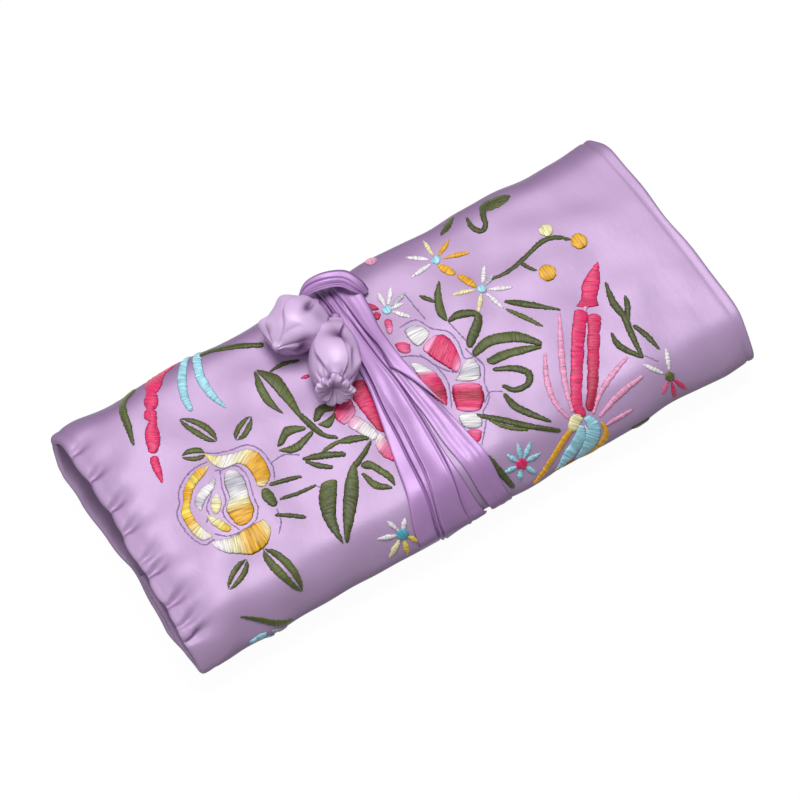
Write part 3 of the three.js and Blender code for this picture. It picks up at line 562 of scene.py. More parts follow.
def lining_point(x, station, lift=0.0):
    """A point on the lining: the inner line at the station, with shallow waves, moved in by the lift."""
    waves = sum(size * np.sin(b * x - a * station + phase) for a, b, phase, size in SOFT_WAVES) * 0.25
    inward = np.asarray(lift) + waves - 0.05
    place = along_section(INNER, station) - along_section(OUTWARD, station) * inward[..., None]
    return flattened(np.concatenate([np.asarray(x)[..., None], place], -1))


def declare_sheet(grid):
    """Works out a cloth's mean length and mean width from its grid, no side less than the smallest that a
    sheet may have. The values are not used."""
    sides = [np.linalg.norm(np.diff(grid, axis=axis), axis=-1) for axis in (0, 1)]
    length, width = sides[0].sum(0).mean() * MM, sides[1].sum(1).mean() * MM
    length, width = max(length, SMALLEST_SHEET), max(width, SMALLEST_SHEET)


lining_marks = [LINING_EDGE, *(zone[1] for zone in ZONES[1:]), LAST_STATION - LINING_EDGE]
lining_s = np.concatenate([*even_places(lining_marks, LINING_STEP), lining_marks[-1:]])
X, S = np.meshgrid(lining_x, lining_s)
lining_grid = lining_point(X, S)
lining_normals = grid_normals(lining_grid)
if lining_normals[len(lining_s) // 2, len(lining_x) // 2, 2] > 0:
    lining_normals = -lining_normals
for zone in ZONES:
    name, first, last, bodies = zone
    rows = rows_between(lining_s, first, last)
    piece = cloth(f"lining_{name}", lining_grid[rows], lining_normals[rows], LINING_CLOTH, lining_satin)
    bend(piece, zone)
    if name in LINING_STANDS_FOR:
        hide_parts(LINING_STANDS_FOR[name])
    declare_sheet(lining_grid[rows])

# The pockets: three satin sheets sewn to the lining round their edges. Each has a long slot for its zip,
# whose edges are turned under and stitched to the zip's tape.
POCKET_HALF_LENGTH = 92
SLOT_HALF_LENGTH = 75
SLOT_HALF_WIDTH = 3.2
POCKET_CLOTH = 0.3
POCKET_LIFT = 0.62
LONG_STEPS = 120
SHORT_STEPS = 12
POCKETS = [
    ("base_pocket", "base", (2.3, 27.7), 14, CREASES[0] - 30, CREASES[0]),
    ("top_far_pocket", "top", (13.9, 34.4), 25.95, CREASES[2], CREASES[3]),
    ("top_near_pocket", "top", (-33, 12), 4.05, CREASES[2], CREASES[3]),
]
pocket_satin = satin("pocket_satin", "bb9dca", "9f7fb2", gloss=0.45, creases=0.6)


def joined_grid(name, grid, material):
    """A closed ring: a grid of points whose rows and columns both join up again."""
    rows, columns = grid.shape[:2]
    number = np.arange(rows * columns).reshape(rows, columns)
    over, beside = np.roll(number, -1, 0), np.roll(number, -1, 1)
    faces = np.stack([number, beside, np.roll(over, -1, 1), over], -1).reshape(-1, 4)
    return mesh_piece(name, grid.reshape(-1, 3), faces, material)


def outline(half_length, first, last):
    """The sides of a rectangle by equal shares, from the left end along its near edge and back."""
    long = np.linspace(-1, 1, LONG_STEPS + 1)[:-1] * half_length
    short = np.linspace(first, last, SHORT_STEPS + 1)[:-1]
    rest = np.full(SHORT_STEPS, float(half_length))
    back = short[::-1] + (last - first) / SHORT_STEPS
    near, far = np.full(LONG_STEPS, first), np.full(LONG_STEPS, last)
    sides = ((long, near), (rest, short), (-long, far), (-rest, back))
    return np.concatenate([np.column_stack(side) for side in sides])


def inner_station(y, first, last):
    """The station, between two others, at which the inner line has this y."""
    chosen = (STATIONS > first) & (STATIONS < last)
    order = np.argsort(INNER[chosen, 0])
    return np.interp(y, INNER[chosen, 0][order], STATIONS[chosen][order])


for name, body, sides, zip_y, low, high in POCKETS:
    first, last = sorted(inner_station(np.array(sides), low, high))
    middle = inner_station(zip_y, low, high)
    slot = outline(SLOT_HALF_LENGTH, middle - SLOT_HALF_WIDTH, middle + SLOT_HALF_WIDTH)
    edge = outline(POCKET_HALF_LENGTH, first, last)
    share = np.linspace(0, 1, 25)
    top = POCKET_LIFT + 0.3 * np.sin(np.pi * np.clip(share * 3.4, 0, 0.5))
    top -= 0.5 * np.clip((share - 0.93) / 0.07, 0, 1) ** 2
    top -= 0.1 * np.exp(-((share - 0.12) / 0.025) ** 2) + 0.1 * np.exp(-((share - 0.9) / 0.02) ** 2)
    around = np.concatenate([share, share[::-1]])
    drawn = slot[:, None] * (1 - around[:, None]) + edge[:, None] * around[:, None]
    x, station = np.moveaxis(drawn, -1, 0)
    waves = 0.05 * np.sin(x / 4.1 + station) + 0.04 * np.sin(x / 1.7 - station / 3)
    lift = np.concatenate([top, top[::-1] - POCKET_CLOTH]) + waves
    grid = lining_point(x, station, lift)
    piece = joined_grid(f"{name}_satin", grid if body == "base" else grid[::-1], pocket_satin)
    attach(piece, body)
    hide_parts(name)
    cut = 4 * SLOT_HALF_LENGTH * SLOT_HALF_WIDTH

# The zips: a woven tape in two halves under each slot, with moulded teeth, a metal slider and a flat pull.
# Each has the y and z of its tape's middle line, and the ways across the tape and out of it.
ZIPS = [
    ("base_zip_tape", "base", (14, 2.4), (1, 0), (0, 1)),
    ("top_far_zip_tape", "top", (26.005, 21.484), (0.99634, -0.08543), (-0.08543, -0.99634)),
    ("top_near_zip_tape", "top", (4.011, 22.574), (0.99991, -0.0131), (-0.0131, -0.99991)),
]
TAPE_HALF_LENGTH = 79
TAPE_HALF_WIDTH = 5
TAPE_THICKNESS = 0.33
TAPE_TOP = 0.44
TAPE_COLUMNS = 160
TAPE_ROWS = 21
WORN_TINT = (0.06, 0.05, 0.06, 1)


def worn_group():
    """A hard face in its own colour: a fine grain and broad worn patches."""
    group, given, ending, place = face_group("worn_face", {
        "Colour": (0.5, 0.5, 0.5, 1), "Wear": 0.2, "Gloss": 0.3})
    patches = add_node(group, "TexNoise", {"Vector": place, "Scale": 900})
    grain = add_node(group, "TexNoise", {"Vector": place, "Scale": 4000})
    amount = add_node(group, "Math", {0: patches.outputs["Fac"], 1: given["Wear"]},
                      operation="MULTIPLY").outputs[0]
    darker = add_node(group, "Mix", {"Factor": amount, "A": given["Colour"], "B": WORN_TINT},
                      data_type="RGBA")
    rough = add_node(group, "Math", {0: given["Gloss"], 1: amount}, operation="ADD")
    fill(group, ending, {
        "Colour Out": darker.outputs["Result"], "Roughness": rough.outputs[0],
        "Height": grain.outputs["Fac"]})
    return group


worn_face = worn_group()


def hard_material(name, main, wear, gloss, metallic, grain):
    """A moulded or metal material in its own colour."""
    material, tree, shader = new_material(name)
    face = add_node(tree, "Group", {"Colour": (*colour(main), 1), "Wear": wear, "Gloss": gloss},
                    node_tree=worn_face)
    wear_face(tree, shader, face, face.outputs["Colour Out"], 0.3, grain, metallic)
    return material


def dress(material, *nodes):
    """Gives CAD nodes their material."""
    for node in nodes:
        for slot in bpy.data.objects[node].material_slots:
            slot.material = material


tape_material, tape_tree, tape_shader = new_material("zip_tape_weave")
tape_place = add_node(tape_tree, "TexCoord").outputs["Object"]
tape_wave = add_node(tape_tree, "TexWave", {"Vector": tape_place, "Scale": 900, "Distortion": 1.5})
tape_ribs = tape_wave.outputs["Fac"]
tape_tone = add_node(tape_tree, "Mix", {
    "Factor": tape_ribs, "A": (*colour("8d6ca3"), 1), "B": (*colour("b294c6"), 1)}, data_type="RGBA")
tape_bump = add_node(tape_tree, "Bump", {"Height": tape_ribs, "Strength": 0.5, "Distance": 0.0002})
fill(tape_tree, tape_shader, {
    "Base Color": tape_tone.outputs["Result"], "Normal": tape_bump.outputs["Normal"], "Roughness": 0.75})
for name, body, seat, across, out in ZIPS:
    L, W = np.meshgrid(np.linspace(-TAPE_HALF_LENGTH, TAPE_HALF_LENGTH, TAPE_COLUMNS),
                       np.linspace(-TAPE_HALF_WIDTH, TAPE_HALF_WIDTH, TAPE_ROWS))
    lift = TAPE_TOP + 0.03 * np.sin(L / 3) - 0.12 * np.exp(-(W / 0.5) ** 2)
    y, z = (seat[k] + W * across[k] + lift * out[k] for k in range(2))
    points = np.stack([L, y, z], -1)
    facing = np.broadcast_to((0, *out), points.shape)
    piece = cloth(f"{name}_weave", points, facing, TAPE_THICKNESS, tape_material)
    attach(piece, body)
    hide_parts(name)
    declare_sheet(points)
teeth_material = hard_material("zip_teeth_resin", "b79bc6", 0.25, 0.32, 0.0, 0.00004)
zip_material = hard_material("zip_brushed_metal", "c9c4c8", 0.3, 0.26, 1.0, 0.00003)
for zip_name in ("base_zip", "top_far_zip", "top_near_zip"):
    dress(teeth_material, f"{zip_name}_teeth_far", f"{zip_name}_teeth_near")
    dress(zip_material, f"{zip_name}_slider", f"{zip_name}_pull")

# The ring bar: a firmly stuffed satin tube that holds rings. One end is sewn to a padded patch by a short
# tab, and a strap at the other end closes on a metal snap.
BAR_ENDS = (-60, 70)
BAR_CENTRE = (-10, 12.1)
BAR_RADIUS = 6.1
BAR_ROUND = 3.2
BAR_PUCKERS = 26
STRAP_STEPS = 40


def smooth_line(points, count):
    """A curve through the points, each step a cubic of its four neighbours, taken at even steps."""
    p = np.asarray(points, float)
    wide = np.vstack([2 * p[0] - p[1], p, 2 * p[-1] - p[-2]])
    t = np.linspace(0, len(p) - 1, count)
    k = np.minimum(t.astype(int), len(p) - 2)
    f = (t - k)[:, None]
    a, b, c, d = (wide[k + step] for step in range(4))
    square, cube = (2 * a - 5 * b + 4 * c - d) * f ** 2, (3 * b - a - 3 * c + d) * f ** 3
    return 0.5 * (2 * b + (c - a) * f + square + cube)


def rounded_skin(name, grid, material):
    """A closed skin of rings: a grid whose columns join up, with each end ring closed by a small face."""
    rows, columns = grid.shape[:2]
    number = np.arange(rows * columns).reshape(rows, columns)
    after = np.roll(number, -1, 1)
    faces = np.stack([number[:-1], after[:-1], after[1:], number[1:]], -1).reshape(-1, 4)
    flat = grid.reshape(-1, 3)
    centre = flat.mean(0)
    middle = faces[len(faces) // 2]
    facing = np.cross(flat[middle[1]] - flat[middle[0]], flat[middle[3]] - flat[middle[0]])
    ends = [number[0, ::-1].tolist(), number[-1].tolist()]
    faces = faces.tolist()
    if facing @ (flat[middle[0]] - centre) < 0:
        faces = [f[::-1] for f in faces]
        ends = [e[::-1] for e in ends]
    return mesh_piece(name, flat, faces + ends, material)


def strap(node, path, half_width, thickness, body):
    """A flat stuffed strap: a flattened oval carried along a path of [x, z] over the bar's middle line."""
    line = smooth_line([(*p, 0) for p in path], STRAP_STEPS)[:, :2]
    way = np.gradient(line, axis=0)
    normal = np.stack([-way[:, 1], way[:, 0]], 1) / np.hypot(*way.T)[:, None]
    turn = np.linspace(0, 2 * np.pi, STRAP_STEPS, endpoint=False)
    wide = half_width * np.sign(np.cos(turn)) * np.abs(np.cos(turn)) ** 0.35
    thick = thickness / 2 * np.sign(np.sin(turn)) * np.abs(np.sin(turn)) ** 0.6
    thick = thick * (1 - 0.35 * np.exp(-((np.abs(wide) - half_width + 0.9) / 0.3) ** 2))
    place = line[:, None] + normal[:, None] * thick[None, :, None]
    across = BAR_CENTRE[0] + np.broadcast_to(wide, place.shape[:2])
    grid = np.stack([place[..., 0], across, place[..., 1]], -1)
    piece = rounded_skin(f"{node}_satin", grid, pocket_satin)
    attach(piece, body)
    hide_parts(node)


BAR_LENGTH = BAR_ENDS[1] - BAR_ENDS[0]
BAR_TURN = 96
end_steps = np.linspace(0, 1, 20) ** 2 * 6
middle_steps = np.linspace(end_steps[-1], BAR_LENGTH - end_steps[-1], 120)[1:]
along = np.concatenate([end_steps, middle_steps, BAR_LENGTH - end_steps[::-1][1:]])
from_end = np.minimum(along, BAR_LENGTH - along)
rounding = np.sqrt(np.clip(1 - (1 - np.clip(from_end / BAR_ROUND, 0, 1)) ** 2, 0, 1))
radius = (BAR_RADIUS - BAR_ROUND) * np.clip(from_end / 0.05, 0.15, 1) + BAR_ROUND * rounding
spin = np.linspace(0, 2 * np.pi, BAR_TURN, endpoint=False)
pucker = 0.22 * np.abs(np.sin(BAR_PUCKERS / 2 * spin))[None] * np.exp(-from_end / 5)[:, None]
waves = 0.1 * np.sin(along[:, None] / 7 + 2 * spin) + 0.06 * np.sin(along[:, None] / 2.6 - 3 * spin)
seam = 0.3 * np.exp(-((spin - 4.6) / 0.05) ** 2)[None]
uneven = (pucker + seam + np.abs(waves)) * np.clip(from_end / 2, 0, 1)[:, None]
radius = np.clip(radius[:, None] - uneven, 0.3, None)
bar_grid = np.stack([BAR_ENDS[0] + along[:, None] * np.ones(BAR_TURN), BAR_CENTRE[0] + radius * np.cos(spin),
                     BAR_CENTRE[1] + radius * np.sin(spin)], -1)
piece = rounded_skin("ring_bar_satin", bar_grid, pocket_satin)
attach(piece, "ring_bar")
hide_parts("ring_bar")
strap("ring_bar_anchor", [(-71, 6.02), (-66, 6.12), (-63, 6.12), (-61.9, 6.02)], 4.9, 0.7, "flap")
strap("ring_bar_hinge_tab", [(-61.45, 6.75), (-60.8, 8.1), (-60.5, 9.0)], 3.9, 0.45, "ring_bar")
strap("snap_strap", [(70.8, 9.1), (71.7, 9.45), (74.5, 7.85), (82, 7.7), (88.9, 7.7)], 4.9, 0.5, "ring_bar")
dress(hard_material("snap_plated_metal", "d2ccc4", 0.25, 0.2, 1.0, 0.00002), "snap_stud", "snap_socket",
      "snap_cap")

# The embroidery: flowers, leaves and berries in raised satin stitch. Each shape is a low dome of threads
# that run from one edge to the other, sewn through the cover, and each is cut where the cover bends.
THREADS = {
    "olive": "48511a", "moss": "5c6628", "magenta": "e4266a", "wine": "ad0c3c", "pink": "ee6a9e",
    "rose": "efa2c8",
    "white": "efeaec", "cream": "f0e8b2", "yellow": "f4da52", "gold": "eaad1e", "blue": "a2dcec",
    "teal": "55abc2",
    "outline": "8d72a2", "grey": "bcbac6",
}
STITCH_HEIGHT = 0.42
ROUND_END = 1.2
STITCH_SINK = 0.15
STITCH_ROW = 0.42
RAGGED = 0.09
TONE_SPREAD = 0.1
LEAF_GAP = 0.5
OUTLINE_WIDTH = 0.42
ACROSS = np.array([-1, -0.82, -0.45, 0, 0.45, 0.82, 1, 0.6, -0.6])
DOME = np.where(np.arange(9) < 7, np.sqrt(np.clip(1 - ACROSS ** 2, 0, None)), -1)
stitches = {"place": [], "colour": [], "uv": [], "face": [], "count": 0}


def patch(left, right, shades, height=1.0):
    """A field of satin stitch between two drawn edges, coloured by shades along its length."""
    length = np.hypot(*np.diff((np.asarray(left, float) + right)[:, :2] / 2, axis=0).T).sum()
    rows = int(np.clip(length / STITCH_ROW, 5, 120))
    a, b = smooth_line(left, rows), smooth_line(right, rows)
    t = np.linspace(0, 1, rows)
    ends = np.clip(t * length / ROUND_END, 0, 1) * np.clip(t[::-1] * length / ROUND_END, 0, 1)
    drawn_in = (0.5 - 0.5 * np.sqrt(1 - (1 - ends[:, None]) ** 2)) * 0.5
    a, b = a + (b - a) * drawn_in, b - (b - a) * drawn_in
    width = np.hypot(*(b - a).T)[:, None]
    ragged = luck.normal(0, RAGGED, (rows, 2))
    way = (b - a) / np.maximum(width, 1e-6)
    a, b = a - way * ragged[:, :1], b + way * ragged[:, 1:]
    share = (ACROSS[None, :, None] + 1) / 2
    place = a[:, None] * (1 - share) + b[:, None] * share
    dome = np.clip(width / 1.6, 0.35, 1) * STITCH_HEIGHT * height
    lift = np.where(DOME[None] < 0, -STITCH_SINK, 0.05 + DOME[None] * dome)
    x, station = cover_place(place)
    stops = np.linspace(0, 1, len(shades)) if isinstance(shades[0], str) else [s[0] for s in shades]
    names = shades if isinstance(shades[0], str) else [s[1] for s in shades]
    tones = np.array([colour(THREADS[n]) for n in names])
    tone = np.stack([np.interp(t, stops, tones[:, k]) for k in range(3)], -1)
    tone = tone * luck.normal(1, TONE_SPREAD, (rows, 1))
    ring = len(ACROSS)
    number = stitches["count"] + np.arange(rows * ring).reshape(rows, ring)
    after = np.roll(number, -1, 1)
    faces = np.stack([number[:-1], number[1:], after[1:], after[:-1]], -1).reshape(-1, 4)
    stitches["face"] += [*faces.tolist(), number[0].tolist(), number[-1, ::-1].tolist()]
    stitches["place"].append(np.stack([x, station, lift * np.ones_like(x)], -1).reshape(-1, 3))
    stitches["colour"].append(np.repeat(np.clip(tone, 0, 1), ring, 0))
    run = np.cumsum(np.full(rows, length / rows)) + luck.uniform(0, 50)
    stitches["uv"].append(np.stack([np.repeat(run, ring), (ACROSS[None] * width / 2).ravel()], -1))
    stitches["count"] += rows * ring


def stroke(shades, *points, height=1.0):
    """Satin stitch along a drawn line: each point is X, Y and the width there."""
    line = smooth_line(points, 6 * len(points))
    step = np.gradient(line[:, :2], axis=0)
    side = np.stack([-step[:, 1], step[:, 0]], 1) / np.maximum(np.hypot(*step.T), 1e-6)[:, None]
    half = side * np.maximum(line[:, 2:], 0.25) / 2
    tones = [shades] * 2 if isinstance(shades, str) else shades
    patch(line[:, :2] - half, line[:, :2] + half, tones, height)


def beads(shades, count, *points, neck=0.45):
    """A line of satin stitch drawn in at even steps, as short swelling fields end to end."""
    line = smooth_line(points, 12 * count)
    swell = neck + (1 - neck) * np.abs(np.sin(np.linspace(0, np.pi * count, len(line)))) ** 0.5
    stroke(shades, *np.column_stack([line[:, :2], line[:, 2] * swell])[::2])


def leaf(root, tip, left, right, bow=0.0):
    """A leaf in two lobes round a bare gap. Its middle line bows sideways, and each lobe swells to its width
    a little beyond the middle and runs out at the tip."""
    root, tip = np.array(root, float), np.array(tip, float)
    along = tip - root
    side = np.array([-along[1], along[0]]) / np.hypot(*along)
    t = np.linspace(0, 1, 9)[:, None]
    middle = root + along * t + side * bow * np.sin(np.pi * t)
    for width, sign in ((left, 1), (right, -1)):
        inner_edge = middle + side * sign * LEAF_GAP * np.sin(np.pi * t) ** 0.7
        outer_edge = inner_edge + side * sign * (0.3 + width * 0.8 * np.sin(np.pi * t ** 0.85) ** 0.6)
        patch(inner_edge, outer_edge, ("olive", "moss", "olive"))


def star(centre, petals, heart, size=1.6):
    """A star flower: narrow petals from a round heart. Each petal is its tip and its colour."""
    for tip_x, tip_y, tone in petals:
        start = np.array(centre) + (np.array([tip_x, tip_y]) - centre) * 0.22
        mid = np.array(centre) + (np.array([tip_x, tip_y]) - centre) * 0.62
        stroke(tone, (*start, 0.7), (*mid, 1.7), (tip_x, tip_y, 0.5))
    knot(centre, size, heart)


def knot(centre, radius, tone):
    """A round field of stitches."""
    t = np.linspace(-1, 1, 9)
    half = radius * np.sqrt(np.clip(1 - t ** 2, 0.02, 1))
    middle = np.column_stack([centre[0] + radius * t, np.full(9, centre[1])])
    up = np.column_stack([np.zeros(9), half])
    patch(middle - up, middle + up, (tone, tone), height=1.2)


def thread(*points):
    """A single dark outline thread."""
    stroke("outline", *[(x, y, OUTLINE_WIDTH) for x, y in points], height=0.35)


# Left end: a curved stalk, a segmented magenta feather, two pale blue ribbons of stitch and small leaves.
stroke(("olive", "moss"), (-79.3, 30, 0.8), (-77.8, 36, 2.2), (-76.6, 41.5, 2.5), (-74.6, 45, 2.3),
       (-70, 46.5, 1.2))
stroke("magenta", (-77.7, 15.1, 0.8), (-77, 18.6, 2.2), (-76.5, 21.6, 2.8), (-75.6, 23.8, 2.8))
stroke("magenta", (-75.4, 24.8, 2.6), (-73.9, 27.4, 4.2), (-72.8, 29.7, 4.6), (-71.7, 32, 3.8),
       (-70.3, 34, 2.4), (-68.6, 37.5, 3.2))
beads("magenta", 4, (-71.2, 34.4, 3.4), (-69.6, 37, 3.8), (-67.5, 40, 4.4), (-64.5, 44.5, 5.2),
      (-59, 48.5, 5.4), (-52, 50, 3))
for x, y, tone in ((-77, 49.3, "pink"), (-73, 49.4, "magenta"), (-69.5, 49.2, "rose"),
                   (-66, 49.3, "magenta")):
    stroke(tone, (x - 1.6, y - 0.6, 1.4), (x + 1.6, y + 0.2, 2.0))
stroke("blue", (-58.3, 31.5, 1.6), (-57.6, 37, 2.6), (-55, 43, 2.8), (-50, 48.7, 1.6))
stroke("blue", (-48.6, 27, 0.8), (-50.3, 34, 2.6), (-50, 41, 3.0), (-47, 48, 2.2))
leaf((-56.7, 18.4), (-62.6, 30.9), 2.2, 2.4, bow=-0.6)
leaf((-61.7, 16.4), (-68.3, 19.5), 1.8, 2.2)
leaf((-51.4, 15.2), (-43.6, 19.9), 2.0, 2.0)
stroke("olive", (-50, 45, 0.8), (-44, 45.6, 1.4), (-36, 43, 1.8), (-28, 39, 1.6))

# Peony in yellow and white, with leaves under it.
patch([(-62.2, 16.9), (-59.3, 14), (-55.1, 12.1), (-49.9, 10.7), (-47.7, 7.6), (-47.4, 2.9), (-48.6, -0.8),
       (-51.7, -3.3)],
      [(-62.1, 15.3), (-61.7, 11.6), (-59.7, 8.7), (-55.2, 7.8), (-53.4, 5.3), (-53.2, 2.1), (-53.4, 0),
       (-54, -1.9)],
      ("yellow", "cream", "white", "cream", "gold", "gold", "gold", "cream"))
patch([(-62.6, 12.3), (-65.9, 12.9), (-69.7, 11.9), (-73.5, 9.4), (-75.3, 6.2), (-77.8, 3.3), (-78.3, -0.8),
       (-77.9, -5.8), (-76.3, -8.7), (-73.9, -9.2)],
      [(-64, 11), (-65.9, 9.9), (-68.9, 8.8), (-71.2, 7.3), (-73, 5.5), (-74.7, 2.8), (-75.3, -1.2),
       (-74.8, -4.4), (-74.4, -6.5), (-73.7, -8.2)],
      ("cream", "gold", "yellow", "gold", "gold", "yellow", "gold", "cream", "white", "cream"))
patch([(-63.5, 8.1), (-66.3, 6.9), (-70, 6.2), (-72.7, 3.8), (-73, 1.1)],
      [(-63.7, 6.3), (-65.4, 4.5), (-68.5, 3.1), (-70.6, 1.8), (-72.2, 0.2)],
      ("grey", "white", "white", "grey", "white"))
patch([(-66, 3), (-68.9, 0.7), (-69.9, -2.7)], [(-65.1, 1.7), (-65.9, -1.1), (-68.3, -3.7)],
      ("white", "cream", "cream"))
patch([(-60.1, 7.4), (-62.1, 3.9), (-63.1, -0.7), (-65.7, -3.4), (-66, -6.9), (-65.2, -10.7)],
      [(-56.6, 6.5), (-56, 2.4), (-56.9, -1.5), (-57.9, -4.9), (-58.4, -8), (-61.1, -11)],
      ("white", "grey", "grey", "white", "cream", "gold", "gold", "gold"))
patch([(-71.2, -2.6), (-69.2, -4.9), (-68, -7.5), (-67.3, -9.8)],
      [(-71.7, -1.2), (-71.9, -5.1), (-70.6, -8.6), (-68.9, -10.7)],
      ("cream", "cream", "yellow", "gold"))
patch([(-74.9, -10.2), (-71.4, -11.6), (-68, -12.6), (-64.5, -12.2), (-60.8, -12.2), (-57.5, -12.2)],
      [(-75, -12.7), (-73.1, -15.8), (-69.9, -18.2), (-66, -20.6), (-60.8, -20.1), (-57, -16.2)],
      ("white", "white", "cream", "gold", "gold", "cream"))
thread((-63, 18), (-59.6, 15.2), (-55, 13.4), (-49.4, 12), (-46.6, 8), (-46.2, 2), (-48, -2.6))
thread((-62.6, 13.6), (-68.6, 13.6), (-74.4, 10.4), (-76.6, 6.4), (-79.2, 3.2), (-79.4, -3.4), (-77.4, -9.6),
       (-73.6, -10.2))
thread((-62.4, 9.4), (-61, 8.6), (-63.2, 3.6), (-64.4, -1), (-67, -3.6), (-67.2, -7.4), (-65.6, -11.6))
thread((-61, 8.6), (-56, 7.6), (-54.8, 2.6), (-56.6, -4.6), (-57.4, -8.6), (-61, -11.8), (-69, -11.8),
       (-72.8, -8.6))
thread((-64, 7.4), (-67, 3.4), (-70.4, 0.4), (-71, -2), (-73, -4))
leaf((-68.6, -20.9), (-78.2, -26.7), 2.0, 1.8)
leaf((-62.5, -20.8), (-60, -39.1), 2.9, 3.1, bow=0.8)
stroke(("olive", "moss"), (-80, -36.4, 0.8), (-76, -40.6, 1.6), (-72, -44.6, 2.2), (-67.5, -46.6, 1.2))
stroke("blue", (-82.5, -45.6, 1.2), (-79.5, -46, 2.4), (-76.6, -45.6, 1.4))
stroke("grey", (-75, -46, 1.0), (-72, -48, 2.2), (-70, -47.6, 1.0))
stroke("blue", (-77.6, -47.6, 1.0), (-75, -49.4, 1.6))

# Between the peony and the tie: short strokes, a big two-lobed leaf and its neighbours.
stroke("olive", (-50.4, -3.2, 1.2), (-45, -4.2, 1.6), (-40.2, -5.6, 1.2))
stroke(("moss", "olive"), (-52.4, -3.6, 2.4), (-52.6, -6.8, 3.8), (-52.2, -10.4, 2.4))
stroke("olive", (-50, -9, 1.0), (-44, -10, 1.4), (-38, -10.6, 1.0))
stroke("olive", (-54, -13, 1.0), (-50, -15.4, 1.6), (-46, -18.4, 1.2))
patch([(-35, 32.8), (-37.2, 27.9), (-37.6, 21.6), (-34.8, 15.6)],
      [(-34.6, 31.6), (-34.9, 24.9), (-34.7, 18.2), (-34.2, 15.8)],
      ("olive", "moss", "olive"))
patch([(-34.5, 31.2), (-32.9, 24.5), (-31.9, 18), (-31.2, 12.7), (-29.9, 7.4)],
      [(-34.2, 32.9), (-29.3, 27.6), (-28.8, 19.5), (-29.6, 12.7), (-29, 7.2)], ("olive", "moss", "olive"))
stroke("olive", (-30.6, 13.2, 1.4), (-29.3, 7.8, 2.2), (-27.8, 2.8, 1.6), (-24.4, -0.9, 1.2))
stroke(("moss", "olive"), (-25.1, -2.1, 1.2), (-21, -3.8, 2), (-15.7, -5.7, 1.2))
# Painted shadow: a dark olive stroke drawn along a line of shade just below the far bud.
stroke("olive", (-31, 30, 0.7), (-26, 30.4, 1.5), (-21, 29, 1.0))
stroke("magenta", (-23.6, 23.4, 0.9), (-21, 22.6, 1.4))
patch([(-42, 7), (-36.4, 11.4), (-31.2, 8.6)], [(-40, 6.5), (-36, 8.2), (-31, 6.8)], ("olive", "moss"))
patch([(-42.4, 5.6), (-37.2, 2.3), (-29.6, 4.6)], [(-40.4, 5.7), (-36.6, 5.2), (-30.2, 6)], ("moss", "olive"))
patch([(-28.4, 8), (-24.6, 11.7), (-19.8, 10.4)], [(-26.2, 7.2), (-23.6, 8.6), (-20.8, 7.8)],
      ("olive", "moss"))
patch([(-27.8, 6.4), (-24.6, 3.6), (-20.2, 6.6)], [(-26, 6.4), (-23.4, 6.5), (-21, 7.2)], ("moss", "olive"))
stroke("olive", (-37, -0.6, 1.2), (-31, -3.4, 2.4), (-25, -6.8, 1.6))
stroke("olive", (-36.6, -1.8, 1.0), (-34, -5.4, 1.8), (-30.6, -8.4, 1.4))
stroke("moss", (-31.4, -2.4, 0.8), (-28, -2.0, 1.6), (-24.6, -2.2, 1.2))
stroke("olive", (-25.2, -2, 1.2), (-20, -3.2, 1.4), (-16, -5.6, 1.2))
stroke("olive", (-16, -6.9, 1), (-20.3, -9.6, 1.8), (-24.9, -11.7, 2.2))
patch([(-36.2, -10.8), (-39.8, -15.5), (-41.9, -23.1), (-41.3, -32.4)],
      [(-31.4, -12.4), (-34.4, -17.2), (-38.2, -23.7), (-40.7, -31.9)],
      ("moss", "olive", "olive"))
patch([(-25.6, -10.6), (-30.6, -15.5), (-35.6, -23), (-40.3, -32.1)],
      [(-23.8, -11.4), (-27.6, -19.3), (-33.8, -26.9), (-39.6, -33)],
      ("moss", "olive", "olive"))
patch([(-23.2, -12), (-19.6, -12.4), (-16.2, -19.6), (-17, -24)],
      [(-22.6, -14), (-20.6, -15.4), (-18.4, -19.8), (-17.6, -23.4)],
      ("olive", "moss", "olive"))
patch([(-24.4, -14.6), (-23.4, -21), (-18.4, -24.6)], [(-23, -15.4), (-21.4, -19.4), (-18.2, -23)],
      ("olive", "moss", "olive"))
thread((-46.5, 3), (-41, 3.6), (-37, 1))
thread((-38, -10.6), (-36.6, -13.6))
thread((-52.4, -11.4), (-53.4, -15.6), (-56, -19))

# Magenta peony, half hidden by the tie.
patch([(-21.4, 7.6), (-21.6, 4.6), (-20.4, 1.6)], [(-14.6, 12), (-14.2, 7.6), (-15, 3.6)],
      ("wine", "magenta", "pink", "rose"))
patch([(-20, 1.4), (-17.6, -3.4), (-15, -7.6)], [(-15.6, 3.4), (-13.6, -1.4), (-12.8, -6)],
      ("rose", "white", "white"))
patch([(-15.4, -8), (-15.6, -12), (-13.4, -16.6)], [(-12, -5.6), (-10.8, -10.6), (-11.2, -15.4)],
      ("white", "pink", "magenta"))
patch([(-14.4, 12.6), (-13.4, 5), (-12.4, -5)], [(-7.4, 13), (-8.4, 4), (-10.6, -6.6)],
      ("wine", "magenta", "wine"))
patch([(6.9, 35.8), (5.5, 34.2)], [(10.1, 31.8), (9.1, 30.7)], ("magenta", "wine"))
patch([(6.9, 31.5), (6.2, 28.9)], [(9.6, 30), (7.9, 28.1)], ("magenta", "wine"))
patch([(8.8, 27.6), (7.2, 21.8)], [(11.1, 25.8), (9, 21.6)], ("magenta", "pink", "rose"))
patch([(12.3, 20.8), (11.9, 17.7), (12.7, 12.7)], [(16.1, 20.3), (18.3, 17.6), (18.8, 14.8)],
      ("grey", "white", "white"))
